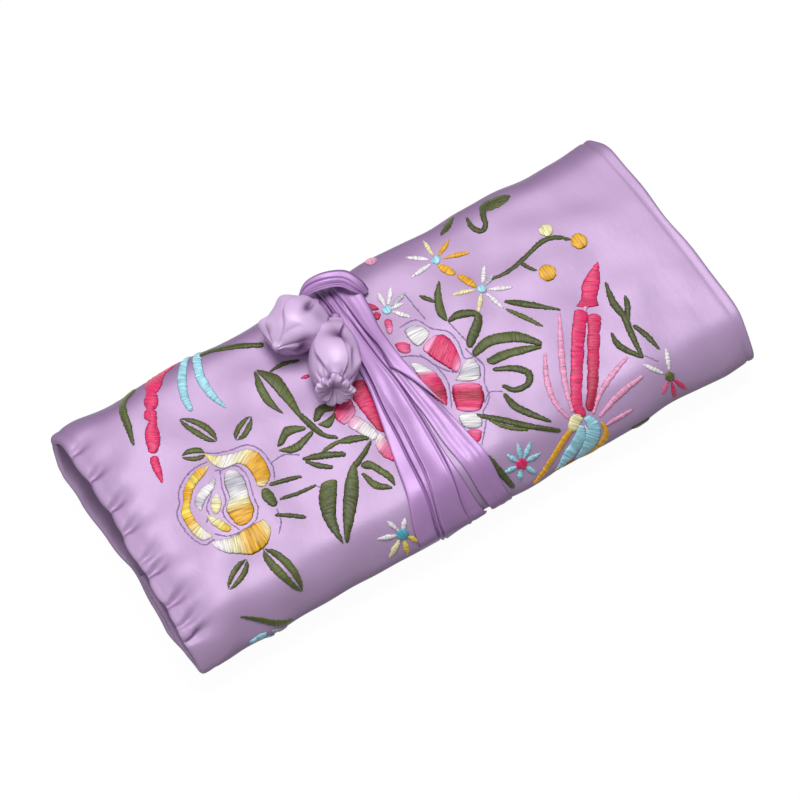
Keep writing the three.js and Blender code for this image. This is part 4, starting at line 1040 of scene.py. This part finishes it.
patch([(13.6, 12.2), (15.2, 7.8), (17.3, 3.2), (19.4, -0.6)],
      [(18.8, 14.2), (22.3, 12.4), (23.4, 7.8), (22.4, 1.8)],
      [(0, "rose"), (0.14, "rose"), (0.2, "magenta"), (0.5, "magenta"), (0.8, "magenta"), (0.86, "pink"),
       (1, "rose")])
patch([(7.1, 18.4), (6.9, 14.3)], [(11.7, 15.5), (9.9, 12.3)], ("magenta", "pink"))
patch([(7.6, 9.7), (7.9, 5.2), (7.6, 0.4), (8.6, -4.3), (10.3, -8.8)],
      [(11, 7.3), (13.3, 2.9), (13.6, -1.6), (12.7, -5.2), (11.1, -8.3)],
      [(0, "white"), (0.2, "white"), (0.28, "pink"), (0.4, "magenta"), (0.75, "wine"), (1, "magenta")])
patch([(22.5, 1.3), (19.5, -1.1), (16.8, -2.5)], [(26.4, 1.5), (26.4, -2.8), (24.2, -6.8)],
      ("white", "grey", "white"))
patch([(16, -3), (13.9, -6.7), (12.3, -12.2)], [(23.7, -7.3), (22.1, -12.6), (18.2, -16.4)],
      [(0, "pink"), (0.12, "pink"), (0.2, "magenta"), (0.35, "wine"), (0.6, "wine"), (0.7, "magenta"),
       (0.88, "magenta"), (1, "rose")])
patch([(11.8, -12.9), (11.2, -16.2), (11.2, -18.7)], [(18, -16.8), (17.2, -19.5), (15.7, -21.5)],
      ("white", "white", "grey"))
patch([(11, -19), (10.9, -21.8), (10.7, -24.6)], [(15.6, -22), (13.8, -24.4), (12, -25.2)],
      ("pink", "magenta", "magenta"))
for line in (((11.6, 22), (17.2, 21.6), (20, 16.4), (24, 12.6), (24.8, 7.6), (24, 2.6), (27.4, 1.4)),
             ((12.2, 11), (14.4, 6), (17.4, 1.4), (21, -1.4)),
             ((4.6, 13.4), (9.6, 11.6), (13.4, 8.4), (15.2, 2), (14.8, -3), (11.4, -10.4)),
             ((27.6, 1), (27.6, -3.4), (25, -7.8), (23.2, -13.6), (18.8, -17.2), (18.2, -20), (12.6, -26.6)),
             ((20, 20), (19, 31))):
    thread(*line)
star((11.5, 29.7), [(16.7, 35.9, "white"), (12.1, 36.4, "white"), (19.6, 31.6, "grey"), (17, 28.8, "white"),
                    (16.4, 23.3, "white")], "blue")
stroke("rose", (13.8, 46.8, 1.2), (15.6, 46.4, 2.6), (17.6, 46, 1.2))

# Star flowers, berries and leaves to the right of the tie.
star((33.7, 36.5), [(25.9, 42.3, "white"), (23.7, 35, "white"), (33.9, 44.7, "cream"), (41.1, 40.7, "gold"),
                    (44.4, 33.4, "gold")], "blue")
stroke("gold", (33.5, 34.6, 1.4), (34.7, 31.6, 3.0), (36.3, 28.8, 1.6))
stroke("gold", (36.6, 28, 1.6), (38.3, 25.1, 3.0), (39.7, 21.5, 1.4))
star((41, 20.2), [(46.2, 27.2, "white"), (47.3, 23.1, "grey"), (49.7, 15.6, "white"), (43.5, 11, "white"),
                  (35.7, 13.6, "cream"), (31.5, 22.7, "cream")], "blue")
star((20.2, -38.4), [(17.6, -33, "blue"), (22.6, -31.6, "blue"), (26.6, -33.4, "blue"), (27.4, -38.4, "blue"),
                     (22.6, -43.6, "blue"), (16.4, -43.2, "blue"), (13.8, -38, "blue")], "magenta", 2.0)
star((-24, -39), [(-25.6, -32.8, "white"), (-31.4, -36.6, "white"), (-20.4, -34.8, "white"),
                  (-31.6, -43.8, "cream"), (-26.4, -45.8, "yellow"), (-20.6, -44, "yellow")], "teal", 2.0)
stroke("olive", (39.6, 43.4, 0.8), (43, 45, 2.0), (46.4, 46.6, 1.0))
stroke("olive", (50, 44.4, 1.2), (49.8, 41, 1.8), (51.6, 38.2, 1.8), (54, 39.4, 1.8), (55.2, 43, 2.0),
       (58, 45, 2.2), (66, 43.6, 1.0))
leaf((55.6, 44.4), (66, 43.8), 1.2, 1.2)
stroke("olive", (45, 22, 1.0), (50.6, 21.2, 1.5), (56.2, 21.9, 1.7), (62, 23.4, 1.7), (66.4, 24.2, 1.8),
       (70.4, 23.4, 1.6), (74.4, 20.4, 1.0))
stroke("olive", (56.4, 22.8, 1.2), (57, 19.4, 1.4), (59, 16.2, 1.0))
knot((61.7, 13.9), 2.9, "gold")
knot((76.4, 18.4), 2.8, "gold")
knot((69.2, 27), 2.4, "cream")
patch([(30.4, 29.8), (26.1, 25), (24, 19.6), (25, 16)], [(30.8, 29.2), (28.8, 25), (27.5, 21.6), (25.8, 16)],
      ("olive", "moss", "olive"))
stroke("olive", (22.6, 28.4, 0.8), (24, 26.4, 1.6), (25.6, 23.8, 1.2))
stroke("olive", (25.6, 15.6, 1.2), (30, 15.8, 2.8), (35.4, 13.4, 2.0))
stroke("olive", (35.6, 13.4, 2.2), (33.2, 10.2, 3.2), (29.6, 7.4, 3.2), (27, 5, 2.0))
stroke("olive", (45, 13, 1.2), (50, 8.4, 2.4), (58.4, 0.6, 0.8))
stroke("moss", (44, 10.4, 0.8), (47, 5, 1.8), (50.4, -1.6, 0.8))
patch([(27, 3.6), (34, 5.4), (42, 2), (47.6, -5.8)], [(26.6, 1), (34, 1.6), (40.6, -1.6), (46.4, -7.4)],
      ("olive", "moss", "olive"))
patch([(29, -1.4), (35, -1.4), (41, -3.6), (46.6, -7)], [(30, -4.4), (36, -5), (41, -6.6), (46, -8)],
      ("olive", "moss", "olive"))
stroke("olive", (29.4, -5.6, 1.4), (35.4, -9, 2.4), (38.2, -13, 2.4), (36, -16, 2.2), (31.4, -15.4, 2.0),
       (29, -12, 1.2))
stroke("olive", (28, -14.8, 1.2), (28.6, -20, 2.6), (31.6, -25, 2.4), (36, -31, 1.0))
stroke("olive", (16, -16.4, 1.2), (22, -22, 2.2), (29, -28.6, 2.2), (37, -35.4, 1.4))
stroke("moss", (19, -20.4, 0.8), (22.4, -25.4, 1.6), (28, -29.6, 1.0))
stroke("olive", (12, -30.4, 1.8), (13, -37, 2.4), (14, -44, 1.6))
thread((25.6, 15.4), (27, 9), (28, 4))
thread((25.8, 5.4), (27.6, -1.8))
thread((28, -14), (24.6, -12), (21, -14.4))

# Long magenta feathers on a twisted base of blue, gold and cream, with pink side feathers.
beads("magenta", 6, (45.6, -35, 3), (46.6, -29, 3.8), (52.6, -19, 4.2), (59.4, -9, 4.6), (64.6, -2.4, 4.8),
      neck=0.84)
beads(("wine", "magenta"), 5, (48.6, -34.4, 3), (55, -25, 3.8), (61.4, -15, 4.2), (67.6, -5.4, 4.6), neck=0.8)
patch([(63, -0.8), (66.5, 1), (69.9, 5.6), (77.6, 9.6)], [(70.2, -4.4), (71, -1.4), (74.8, 2.8), (78.2, 9)],
      ("magenta", "magenta", "magenta"))
stroke("rose", (63.6, -4.6, 0.8), (67, -2, 1.5), (69.6, -2.6, 0.8))
for side_feather in (((41.4, -33.4, 1.0), (40.4, -26, 1.8), (42, -18, 2.0), (46.4, -9.4, 1.0)),
                     ((43.6, -32, 1.0), (46.4, -22, 2.0), (51, -12, 2.2), (58, 0.6, 0.8)),
                     ((48.6, -36, 1.0), (54.6, -30.6, 1.8), (61, -27.2, 2.0), (68.6, -24.4, 1.0)),
                     ((50, -37.6, 1.0), (56.4, -35, 1.8), (62, -33.6, 2.0), (69.4, -32.6, 1.0)),
                     ((50, -41, 0.8), (55, -40.6, 1.4), (60.4, -40.4, 0.8))):
    beads("rose", 7, *side_feather, neck=0.75)
patch([(39, -36.4), (41.6, -33.4), (44, -32.6)], [(41, -38.6), (43.6, -37), (46, -35)], ("cream", "cream"))
stroke("gold", (41.4, -36.4, 1.2), (37, -38.6, 2.0), (30.6, -42, 2.0), (20, -46.4, 1.4))
stroke("blue", (43.6, -37.4, 2.0), (40.4, -41.4, 3.6), (33, -45.6, 3.4), (29, -47.4, 1.6))
stroke("blue", (46.6, -35.6, 2.4), (46.4, -40, 4.2), (41.6, -45, 4.0), (36.4, -48.4, 2.0))
stroke("white", (44.6, -38, 0.6), (43.4, -42, 0.9), (38, -46.4, 0.6), height=1.3)
stroke("gold", (49.6, -39.4, 1.0), (48.6, -43.6, 1.8), (42, -48, 1.8), (36, -50, 1.0))
stroke("gold", (28.6, -46.4, 1.2), (33.4, -48.8, 1.6), (37.4, -50, 1.0))
stroke(("olive", "moss"), (57, -46.4, 1.2), (60.4, -47.6, 2.4), (64, -47, 1.2))

# Thin branch with narrow leaves and a small flower near the right end.
stroke("olive", (76.3, 1.9, 0.8), (74.6, -5.4, 2.4), (74.9, -11.7, 2.2), (73.5, -18.5, 2.2),
       (72.1, -27.5, 1.2))
stroke("olive", (79, -5.5, 0.8), (77.9, -9, 2.0), (75, -14, 1.2))
stroke("olive", (75.6, -16, 1.2), (77.6, -22, 2.0), (78.6, -27.7, 0.8))
stroke("olive", (68.4, -14.3, 0.8), (68.2, -20, 2.2), (72.1, -27.5, 1.2))
thread((73, -27), (76, -31))
star((76.6, -37.4), [(71, -29.4, "white"), (80.6, -28.4, "white"), (71.4, -41.4, "pink"),
                     (74.6, -46, "magenta"), (79.6, -44.6, "magenta")], "moss", 1.7)

thread_material, thread_tree, thread_shader = new_material("embroidery_thread")
thread_colour = add_node(thread_tree, "Attribute", attribute_name="thread_colour").outputs["Color"]
thread_run = add_node(thread_tree, "UVMap", uv_map="thread").outputs["UV"]
strand_map = add_node(thread_tree, "Mapping", {"Vector": thread_run, "Scale": (2.6, 0.16, 1)})
strand_noise = add_node(thread_tree, "TexNoise", {"Vector": strand_map.outputs[0], "Scale": 1.0, "Detail": 2})
strand_height = strand_noise.outputs["Fac"]
strand_shade = add_node(thread_tree, "MapRange", {
    "Value": strand_height, "From Min": 0.3, "From Max": 0.7, "To Min": 0.5, "To Max": 1.3})
strand_tone = add_node(thread_tree, "VectorMath", {0: thread_colour, "Scale": strand_shade.outputs[0]},
                       operation="SCALE")
strand_bump = add_node(thread_tree, "Bump", {"Height": strand_height, "Strength": 0.6, "Distance": 0.0005})
fill(thread_tree, thread_shader, {
    "Base Color": strand_tone.outputs[0], "Normal": strand_bump.outputs["Normal"], "Roughness": 0.42,
    "Sheen Weight": 0.06})

stitch_place = np.concatenate(stitches["place"])
stitch_colour = np.concatenate(stitches["colour"])
stitch_uv = np.concatenate(stitches["uv"])
stitch_points = cover_point(stitch_place[:, 0], stitch_place[:, 1], stitch_place[:, 2])
face_station = np.array([stitch_place[f, 1].mean() for f in stitches["face"]])
for zone in ZONES:
    name, first, last, bodies = zone
    chosen = np.nonzero((face_station >= first) & (face_station < last))[0]
    if not len(chosen):
        continue
    faces = [stitches["face"][k] for k in chosen]
    used, flat_faces = np.unique(np.concatenate(faces), return_inverse=True)
    ends = np.cumsum([len(f) for f in faces])[:-1]
    piece = mesh_piece(f"embroidery_{name}", stitch_points[used], np.split(flat_faces, ends), thread_material,
                       uv=stitch_uv[used], colours=stitch_colour[used])
    bend(piece, zone)

# The ribbon: two lengths of satin band sewn to the free edge. They run under the roll, up the far side,
# over the top and down the near side again, drawn together so that they lie in folds that fan out.
RIBBON_GAP = 0.22
RIBBON_CLOTH = 0.38
UNDER_INSIDE = 0.93
NEAR_FOOT = (-42.7, 0.9)
RIBBON_ROUNDING = 1
RIBBON_STEP = 0.8
ribbon_satin = satin("ribbon_satin", "be94cc", "a073b2", gloss=0.4, creases=0.2, glow=0.15, painted_shade_full_at=0.55)


def ribbon_line():
    """The ribbon's inner line: level under the base, then the cover's outer line moved out by the gap, then
    straight down from the near side to the free edge, all rounded by a bell-shaped running mean."""
    over = (STATIONS > CREASES[0] + 1.5) & (STATIONS < CREASES[4] + 2)
    under = STATIONS < CREASES[0] - 2
    reach = (OUTER + OUTWARD * RIBBON_GAP)[over]
    drop = np.hypot(*(reach[-1] - NEAR_FOOT))
    station = np.concatenate([STATIONS[under], STATIONS[over], [STATIONS[over][-1] + drop]])
    level = np.column_stack([OUTER[under, 0], np.full(under.sum(), UNDER_INSIDE)])
    line = np.concatenate([level, reach, [NEAR_FOOT]])
    even = np.arange(0, station[-1], STEP)
    count = int(3 * RIBBON_ROUNDING / STEP)
    places = np.arange(-count, count + 1) * STEP / RIBBON_ROUNDING
    taken = np.stack([bell_mean(np.interp(even, station, line[:, k]), places) for k in range(2)], 1)
    return even, taken, outward(taken)


RIBBON_S, RIBBON_INNER, RIBBON_OUT = ribbon_line()
RIBBON_END = RIBBON_S[-1]


def ribbon_point(x, station, lift):
    """A point on the ribbon: its inner line moved out by the lift and by the cover's own relief."""
    place = np.stack([np.interp(station, RIBBON_S, RIBBON_INNER[:, k]) for k in range(2)], -1)
    out = np.stack([np.interp(station, RIBBON_S, RIBBON_OUT[:, k]) for k in range(2)], -1)
    resting = np.clip((station - CREASES[0] - 2) / 6, 0, 1) * np.clip((CREASES[4] - station) / 4, 0, 1)
    lift = lift * (1 - 0.9 * np.clip((station - CREASES[4] + 3) / 9, 0, 1))
    place = place + out * (lift + resting * relief(x, np.clip(station, 0, LAST_STATION)))[..., None]
    return np.concatenate([np.asarray(x)[..., None], place], -1)


def ribbon_edge(far, drawn, near):
    """An edge or fold that runs the ribbon's whole length: x by station, from places on the hidden far side,
    drawn places on the side that is seen, and the last place at the free edge."""
    x, station = cover_place(drawn)
    stations = np.concatenate([[0, CREASES[0], CREASES[2] - 4], station, [RIBBON_END]])
    places = np.concatenate([far, x, [near]])
    even = np.linspace(0, RIBBON_END, 600)
    level = bell_mean(np.interp(even, stations, places), np.arange(-24, 25) / 9)
    return lambda s: np.interp(s, even, level)


MAIN_LEFT = ribbon_edge((-23, -10, -9.5), [(-6.4, 44), (-5, 36), (-5.6, 29), (-6.9, 19), (-7.6, 9.6),
                                           (-9, 1.3),
                                          (-10.4, -4), (-12.8, -15), (-16.3, -29.5), (-21.4, -41)], -23)
MAIN_FOLD = ribbon_edge((-12, -8, -7.6), [(-4.6, 44), (-4.1, 31), (-5.4, 14), (-6.1, 8), (-7.3, -1.4),
                                          (-8, -12.3),
                                         (-9.8, -25.2), (-12.4, -37.5), (-14.6, -43)], -15)
MAIN_PLEAT = ribbon_edge((-10, -6, -5.6), [(-3.6, 44), (-3.2, 31), (-4, 14), (-4.4, 4), (-5.4, -10),
                                           (-6.9, -24.1),
                                          (-10.6, -36), (-13.2, -43)], -13.4)
MAIN_RIDGE = ribbon_edge((-4, -4, -3.6), [(-1, 44), (-1, 31), (-0.4, 14), (1, 2.6), (0.2, -20.1),
                                          (-4.2, -41)], -4.5)
MAIN_RIGHT = ribbon_edge((1.6, -1.8, -1.8), [(1.4, 44), (1.5, 31), (2, 20), (1.5, 10.7), (1.7, 3.2),
                                             (2.3, -4.9),
                                            (1.7, -18.2), (1.6, -29.4), (1.6, -42)], 2)
BAND_LEFT = ribbon_edge((4.2, -1, -1), [(0, 44), (0.4, 31), (0.8, 14), (2.6, -4.9), (3, -20), (3.6, -42)],
                        4.2)
BAND_RIGHT = ribbon_edge((11.3, 3, 3), [(5.6, 40), (5, 29.4), (4.2, 22.6), (4.6, 14), (5.6, 8), (9.4, -9),
                                       (11.2, -19.6), (12.4, -30.4), (11.2, -42)], 11.3)


def fold_step(off, rise, run):
    """A fold's overlap: a narrow dip, then a quick rise that sinks away over the run."""
    raised = rise * (1 / (1 + np.exp(-off / 0.09))) * np.exp(-np.clip(off, 0, None) / run)
    return raised - 0.5 * np.exp(-((off + 0.3) / 0.28) ** 2)


def ridge(off, rise, width):
    """A soft crease: a low crest with a shallow dip at its right."""
    crest = rise * np.exp(-(off / width) ** 2)
    return crest - 0.7 * rise * np.exp(-((off - 1.9 * width) / (1.2 * width)) ** 2)


def off_floor(station):
    """A share that is 0 in the groove under the roll, where the ribbon lies flat, and 1 beyond it."""
    return np.clip((station - CREASES[0] + 6) / 10, 0, 1)


def main_lift(x, station, left, right):
    """The wide length's thickness over the roll: rounded edges, two overlapping folds and a soft crest."""
    inside = np.clip(np.minimum(x - left, right - x) / 0.55, 0, 1)
    seen = np.clip((station - CREASES[2] - 4) / 12, 0, 1)
    body = 0.34 + 0.4 * np.sqrt(1 - (1 - inside) ** 2)
    fold = fold_step(x - MAIN_FOLD(station), 0.85, 4.0) * inside
    begun = np.clip((station - CREASES[3] + 34) / 16, 0, 1)
    pleat = fold_step(x - MAIN_PLEAT(station), 0.55, 2.4) * inside * begun
    crest = ridge(x - MAIN_RIDGE(station), 0.4, 0.55) * inside * seen
    share = (x - left) / (right - left)
    swell = 0.06 * np.sin(share * 16 + station * 0.035) + 0.3 * (1 - (2 * share - 1) ** 2)
    hidden = 0.5 * np.sin(3 * np.pi * share) ** 2 * (1 - seen)
    return body + (fold + pleat + crest + (swell * seen + hidden) * inside) * off_floor(station)


def band_lift(x, station, left, right):
    """The narrow length's thickness over the roll: rounded edges and one long soft crest."""
    inside = np.clip(np.minimum(x - left, right - x) / 0.5, 0, 1)
    share = (x - left) / (right - left)
    swell = 0.22 * np.sin(np.pi * share) ** 2 + 0.1 * np.sin(share * 15 + station * 0.06)
    return 0.3 + (0.32 + swell * off_floor(station)) * np.sqrt(1 - (1 - inside) ** 2)


RIBBON_CUTS = [
    ("under", 0, CREASES[0] - FOLD_MARGIN, ("base",), "ribbon_{}_under"),
    ("far_low", CREASES[0] - FOLD_MARGIN, middles[0], ("base", "far_low"), "ribbon_{}_far_low"),
    ("far_middle", middles[0], middles[1], ("far_low", "far_high"), "ribbon_{}_far_high"),
    ("far_high", middles[1], CREASES[2] - 0.4, ("far_high",), None),
    ("top", CREASES[2] - 0.4, CREASES[3], ("tie_top",), "ribbon_{}_top"),
    ("near", CREASES[3], RIBBON_END, ("tie_near",), "ribbon_{}_near"),
]
RIBBON_SIDES = (("left", MAIN_LEFT, MAIN_RIGHT, main_lift, 96),
                ("right", BAND_LEFT, BAND_RIGHT, band_lift, 44))
for side, left_edge, right_edge, lift_of, columns in RIBBON_SIDES:
    marks = [cut[1] for cut in RIBBON_CUTS] + [RIBBON_END]
    ribbon_s = np.concatenate([*even_places(marks, RIBBON_STEP), marks[-1:]])
    U, S = np.meshgrid(np.linspace(0, 1, columns), ribbon_s)
    left, right = left_edge(S), right_edge(S)
    X = left + (right - left) * U
    ribbon_grid = ribbon_point(X, S, lift_of(X, S, left, right))
    ribbon_normals = grid_normals(ribbon_grid)
    if ribbon_normals[np.argmin(np.abs(ribbon_s - middles[2])), 20, 2] < 0:
        ribbon_normals = -ribbon_normals
    for cut in RIBBON_CUTS:
        name, first, last, bodies, node = cut
        rows = rows_between(ribbon_s, first, last)
        part = ribbon_grid[rows]
        piece = cloth(f"ribbon_{side}_{name}_satin", part, ribbon_normals[rows], RIBBON_CLOTH, ribbon_satin)
        bend(piece, cut[:4])
        declare_sheet(part)
        if node:
            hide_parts(node.format(side))

# The ribbon's folded flap: the last turn of the band comes out of the hitch on top of the others and is
# creased back to a point, so that its lower edge lies across the narrow length.
FLAP_LIFT = 1.7
flap_left = smooth_line([(-0.6, 44.5), (0.6, 36), (1.2, 27), (2, 19), (1.4, 11)], 60)
flap_right = smooth_line([(7.4, 40), (7, 32), (5.8, 22.5), (6.6, 8), (10, -9.2)], 60)
U, T = np.meshgrid(np.linspace(0, 1, 40), np.linspace(0, 1, 60))
drawn = flap_left[:, None] * (1 - U[..., None]) + flap_right[:, None] * U[..., None]
drawn[..., 1] += 1.6 * np.sin(np.pi * U) * T ** 3
x, station = cover_place(drawn)
inside = np.clip(np.minimum(U * 6, (1 - U) * 5) / 0.6, 0, 1)
tuck = np.clip((1 - T) / 0.03, 0, 1)
body = 0.42 * np.sqrt(1 - (1 - inside) ** 2) * (0.5 + 0.5 * tuck)
ripple = 0.22 * np.sin(U * 9 + 0.6 + T) * (1 - T)
lift = FLAP_LIFT + body + ripple - 0.55 * (1 - inside) * (U < 0.5)
flap_grid = ribbon_point(x, station, lift)
flap_normals = grid_normals(flap_grid)
flap_normals = flap_normals * np.sign(flap_normals[30, 20, 2])
piece = cloth("ribbon_folded_flap", flap_grid, flap_normals, RIBBON_CLOTH, ribbon_satin)
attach(piece, "tie_top")
declare_sheet(flap_grid)

# The hitch: one turn of the ribbon's end drawn over the folds at the far side and tucked under on both
# sides, where it holds them together. Its near edge is rolled.
HITCH_PATH = [(-14, 40, 23), (-10.6, 41, 26.6), (-5.4, 39.9, 28.3), (0.2, 37.6, 28), (3, 33.8, 26.8),
              (4.7, 31.2, 24.4)]
HITCH_ENDS = ((0.2, 0.98, 0), (0.95, 0.3, 0))
hitch_path = smooth_line(HITCH_PATH, 70)
T = np.linspace(0, 1, 70)
hitch_across = np.array(HITCH_ENDS[0]) * (1 - T[:, None]) + np.array(HITCH_ENDS[1]) * T[:, None]
hitch_across /= np.linalg.norm(hitch_across, axis=1, keepdims=True)
hitch_up = np.cross(np.gradient(hitch_path, axis=0), hitch_across)
hitch_up /= np.linalg.norm(hitch_up, axis=1, keepdims=True)
V = np.linspace(-1, 1, 41)
half = (1.5 + 1.8 * np.sin(np.pi * T) ** 0.8)[:, None]
rolled = 0.3 * np.exp(-((V + 0.86) / 0.12) ** 2) - 0.3 * np.exp(-((V + 0.6) / 0.12) ** 2)
crown = 0.15 + 0.75 * (1 - V ** 2) + 0.22 * np.cos(V * 7 + T[:, None] * 3) + rolled
crown = crown * (0.5 + 0.5 * np.sin(np.pi * T))[:, None]
hitch_grid = (hitch_path[:, None] + hitch_across[:, None] * (half * V)[..., None]
              + hitch_up[:, None] * crown[..., None])
hitch_normals = grid_normals(hitch_grid)
hitch_normals = hitch_normals * np.sign((hitch_normals[35, 20] * hitch_up[35]).sum())
piece = cloth("hitch_satin", hitch_grid, hitch_normals, RIBBON_CLOTH, ribbon_satin)
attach(piece, "tie_top")
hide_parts("tie_hitch")
declare_sheet(hitch_grid)

# The rosebuds: each end of the ribbon is knotted, then rolled and gathered into a small stuffed bud, with
# overlapping layers, and whipped together with thread at its tip.
KNOT_RADIUS = 1.7
BUD_FLATTENED = 0.85
BUD_OVER_KNOT = 1.9
# Painted shade in the buds' dents and under their layers' edges: the dark tint, and how strongly a dent's
# depth darkens.
HOLLOW_PAINTED_SHADE_TINT = (0.2, 0.07, 0.22, 1)
HOLLOW_PAINTED_SHADE_STRENGTH = 2.6
BUD_ROWS = 130
BUD_TURN = 160
FAR_OUTLINE = [(0, 0), (0.3, 0.0), (0.56, 0.06), (0.82, 0.18), (0.98, 0.36), (1, 0.54), (0.92, 0.7),
               (0.72, 0.83),
               (0.45, 0.91), (0.2, 0.97), (0.12, 1.02), (0, 1.04)]
NEAR_OUTLINE = [(0, 0.03), (0.2, 0.0), (0.38, 0.03), (0.5, 0.1), (0.7, 0.2), (0.9, 0.36), (1, 0.52),
                (0.97, 0.66),
                (0.82, 0.77), (0.66, 0.83), (0.6, 0.86), (0.68, 0.9), (0.73, 0.95), (0.6, 0.99), (0.36, 0.97),
                (0, 0.9)]


# The buds' satin: the ribbon's own lilac, lightened as painted light for the light that the high buds catch.
# It also carries painted shade.
bud_satin_painted_light_and_shade = satin("rosebud_satin_painted_light_and_shade", "dcbfe6", "c8a4d6", gloss=0.42, mottling=0.15, creases=0.12, glow=0.05,
                  painted_shade_full_at=1.4)
bud_tree = bud_satin_painted_light_and_shade.node_tree
bud_base = bud_tree.nodes["Principled BSDF"].inputs["Base Color"]
# Painted shade: a value stored on the buds' points multiplies their colour towards a dark tint.
bud_painted_shade = add_node(bud_tree, "Attribute", attribute_name="painted_hollow_shade").outputs["Fac"]
bud_painted_shade_mix = add_node(bud_tree, "Mix", {
    "Factor": bud_painted_shade, "A": bud_base.links[0].from_socket, "B": HOLLOW_PAINTED_SHADE_TINT},
    data_type="RGBA", blend_type="MULTIPLY")
bud_tree.links.new(bud_painted_shade_mix.outputs["Result"], bud_base)


def bud_axes(way):
    """The bud's own directions: along its way, level across it, and up."""
    along = np.array(way) / np.linalg.norm(way)
    level = np.cross(along, (0, 0, 1))
    level /= np.linalg.norm(level)
    return along, level, np.cross(level, along)


def rosebud(name, knot_place, way, length, radius, outline, edges, puckers, dents):
    """A bud: an outline turned round its way. At each layer's slanted edge the radius steps out, and it sinks
    back over the next part of the turn. Puckers of a count and depth begin at a share of the length. A dent
    is a round dip at a turn and a share of the length; with a depth below zero it is a swelling. Painted
    shade: under each layer's edge and in each dent the bud's colour is darkened by a value stored on its
    points."""
    along, level, up = bud_axes(way)
    profile = smooth_line(outline, BUD_ROWS)
    turn = np.linspace(0, 2 * np.pi, BUD_TURN, endpoint=False)
    t, r = profile[:, 1:2], np.clip(profile[:, :1], 0, None)
    reach, painted_hollow_shade = np.ones((BUD_ROWS, BUD_TURN)), np.zeros((BUD_ROWS, BUD_TURN))
    for start, slant, step, side in edges:
        line = start + slant * t + 0.2 * np.sin(7 * t + start)
        behind = np.mod(side * (turn - line), 2 * np.pi)
        reach = reach + step * np.clip(1 - behind / 2.2, 0, 1) * np.clip(behind / 0.06, 0, 1)
        under = np.exp(-((2 * np.pi - behind) / 0.12) ** 2)
        reach = reach - 0.35 * step * under
        # Painted shade just under each layer's edge.
        painted_hollow_shade = painted_hollow_shade + 1.6 * step * under
    for count, depth, begin in puckers:
        wave = np.abs(np.sin(count / 2 * turn + 1.2 * np.sin(2 * turn + count) + 5 * t)) ** 0.7 - 0.6
        uneven = 0.75 + 0.45 * np.sin(3 * turn + count)
        reach = reach + depth * uneven * wave * np.clip((t - begin) / (1 - begin), 0, 1)
    for at_turn, at_share, turn_width, share_width, depth in dents:
        off = np.mod(turn - at_turn + np.pi, 2 * np.pi) - np.pi
        dip = np.exp(-(off / turn_width) ** 2 - ((t - at_share) / share_width) ** 2)
        reach = reach - depth * dip
        # Painted shade in each dent.
        painted_hollow_shade = painted_hollow_shade + HOLLOW_PAINTED_SHADE_STRENGTH * max(depth, 0) * dip
    reach = reach + 0.04 * np.sin(2 * turn + 5 * t) + 0.03 * np.sin(3 * turn - 6 * t + 1)
    start = np.array(knot_place) + along * (BUD_OVER_KNOT - KNOT_RADIUS)
    place = (start + along * (t * length)[..., None] * np.ones((1, BUD_TURN, 1))
             + level * (r * reach * radius * np.cos(turn))[..., None]
             + up * (r * reach * radius * np.sin(turn))[..., None])
    place[..., 2] = start[2] + (place[..., 2] - start[2]) * BUD_FLATTENED
    bud = rounded_skin(f"{name}_satin", place, bud_satin_painted_light_and_shade)
    painted_shade_values = bud.data.attributes.new("painted_hollow_shade", "FLOAT", "POINT")
    painted_shade_values.data.foreach_set("value", np.clip(painted_hollow_shade, 0, 1).ravel())
    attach(bud, "tie_top")
    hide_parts(name)
    leans, spins = np.linspace(0.06, np.pi - 0.06, 40), np.linspace(0, 2 * np.pi, 60, endpoint=False)
    lean, spin = np.meshgrid(leans, spins, indexing="ij")
    wound = KNOT_RADIUS * (0.94 + 0.06 * np.abs(np.sin(lean * 2.5 + spin)))
    off_axis = wound * np.sin(lean)
    ball = np.stack([off_axis * np.cos(spin), off_axis * np.sin(spin), wound * np.cos(lean)], -1)
    wrap = rounded_skin(f"{name}_knot_satin", ball + np.array(knot_place) - along * KNOT_RADIUS, ribbon_satin)
    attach(wrap, "tie_top")
    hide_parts(f"{name}_knot")


rosebud("rosebud_far", (-12.9, 34.2, 27.6), (-0.88, -0.43, 0.25), 20.5, 8.6, FAR_OUTLINE,
        [(2.75, 0.35, 0.26, -1), (1.0, 0.5, 0.16, 1), (4.6, 0.4, 0.12, 1)], [(7, 0.42, 0.7)],
        [(1.8, 0.31, 0.13, 0.15, 0.3), (2.3, 0.32, 0.4, 0.14, 0.1), (2.95, 0.8, 0.5, 0.09, 0.32),
         (0.35, 0.86, 0.3, 0.05, 0.14), (0.45, 0.24, 0.35, 0.12, -0.2), (0.1, 0.78, 0.45, 0.12, -0.3),
         (2.4, 0.7, 0.25, 0.1, -0.08)])
rosebud("rosebud_near", (-9.8, 25.7, 27.9), (-0.52, -0.833, 0.22), 29.4, 7.6, NEAR_OUTLINE,
        [(0.75, 0.5, 0.2, 1), (2.15, -0.3, 0.28, -1), (4.2, 0.6, 0.12, 1)],
        [(11, 0.42, 0.74), (23, 0.16, 0.8)],
        [(1.8, 0.35, 0.46, 0.1, 0.38), (2.45, 0.6, 0.16, 0.12, 0.14), (1.3, 0.88, 0.14, 0.05, 0.3),
         (1.95, 0.9, 0.14, 0.05, 0.3), (0.7, 0.88, 0.16, 0.05, 0.26), (2.5, 0.9, 0.14, 0.05, 0.26),
         (1.1, 0.22, 0.3, 0.07, -0.16), (2.8, 0.62, 0.2, 0.08, -0.1)])
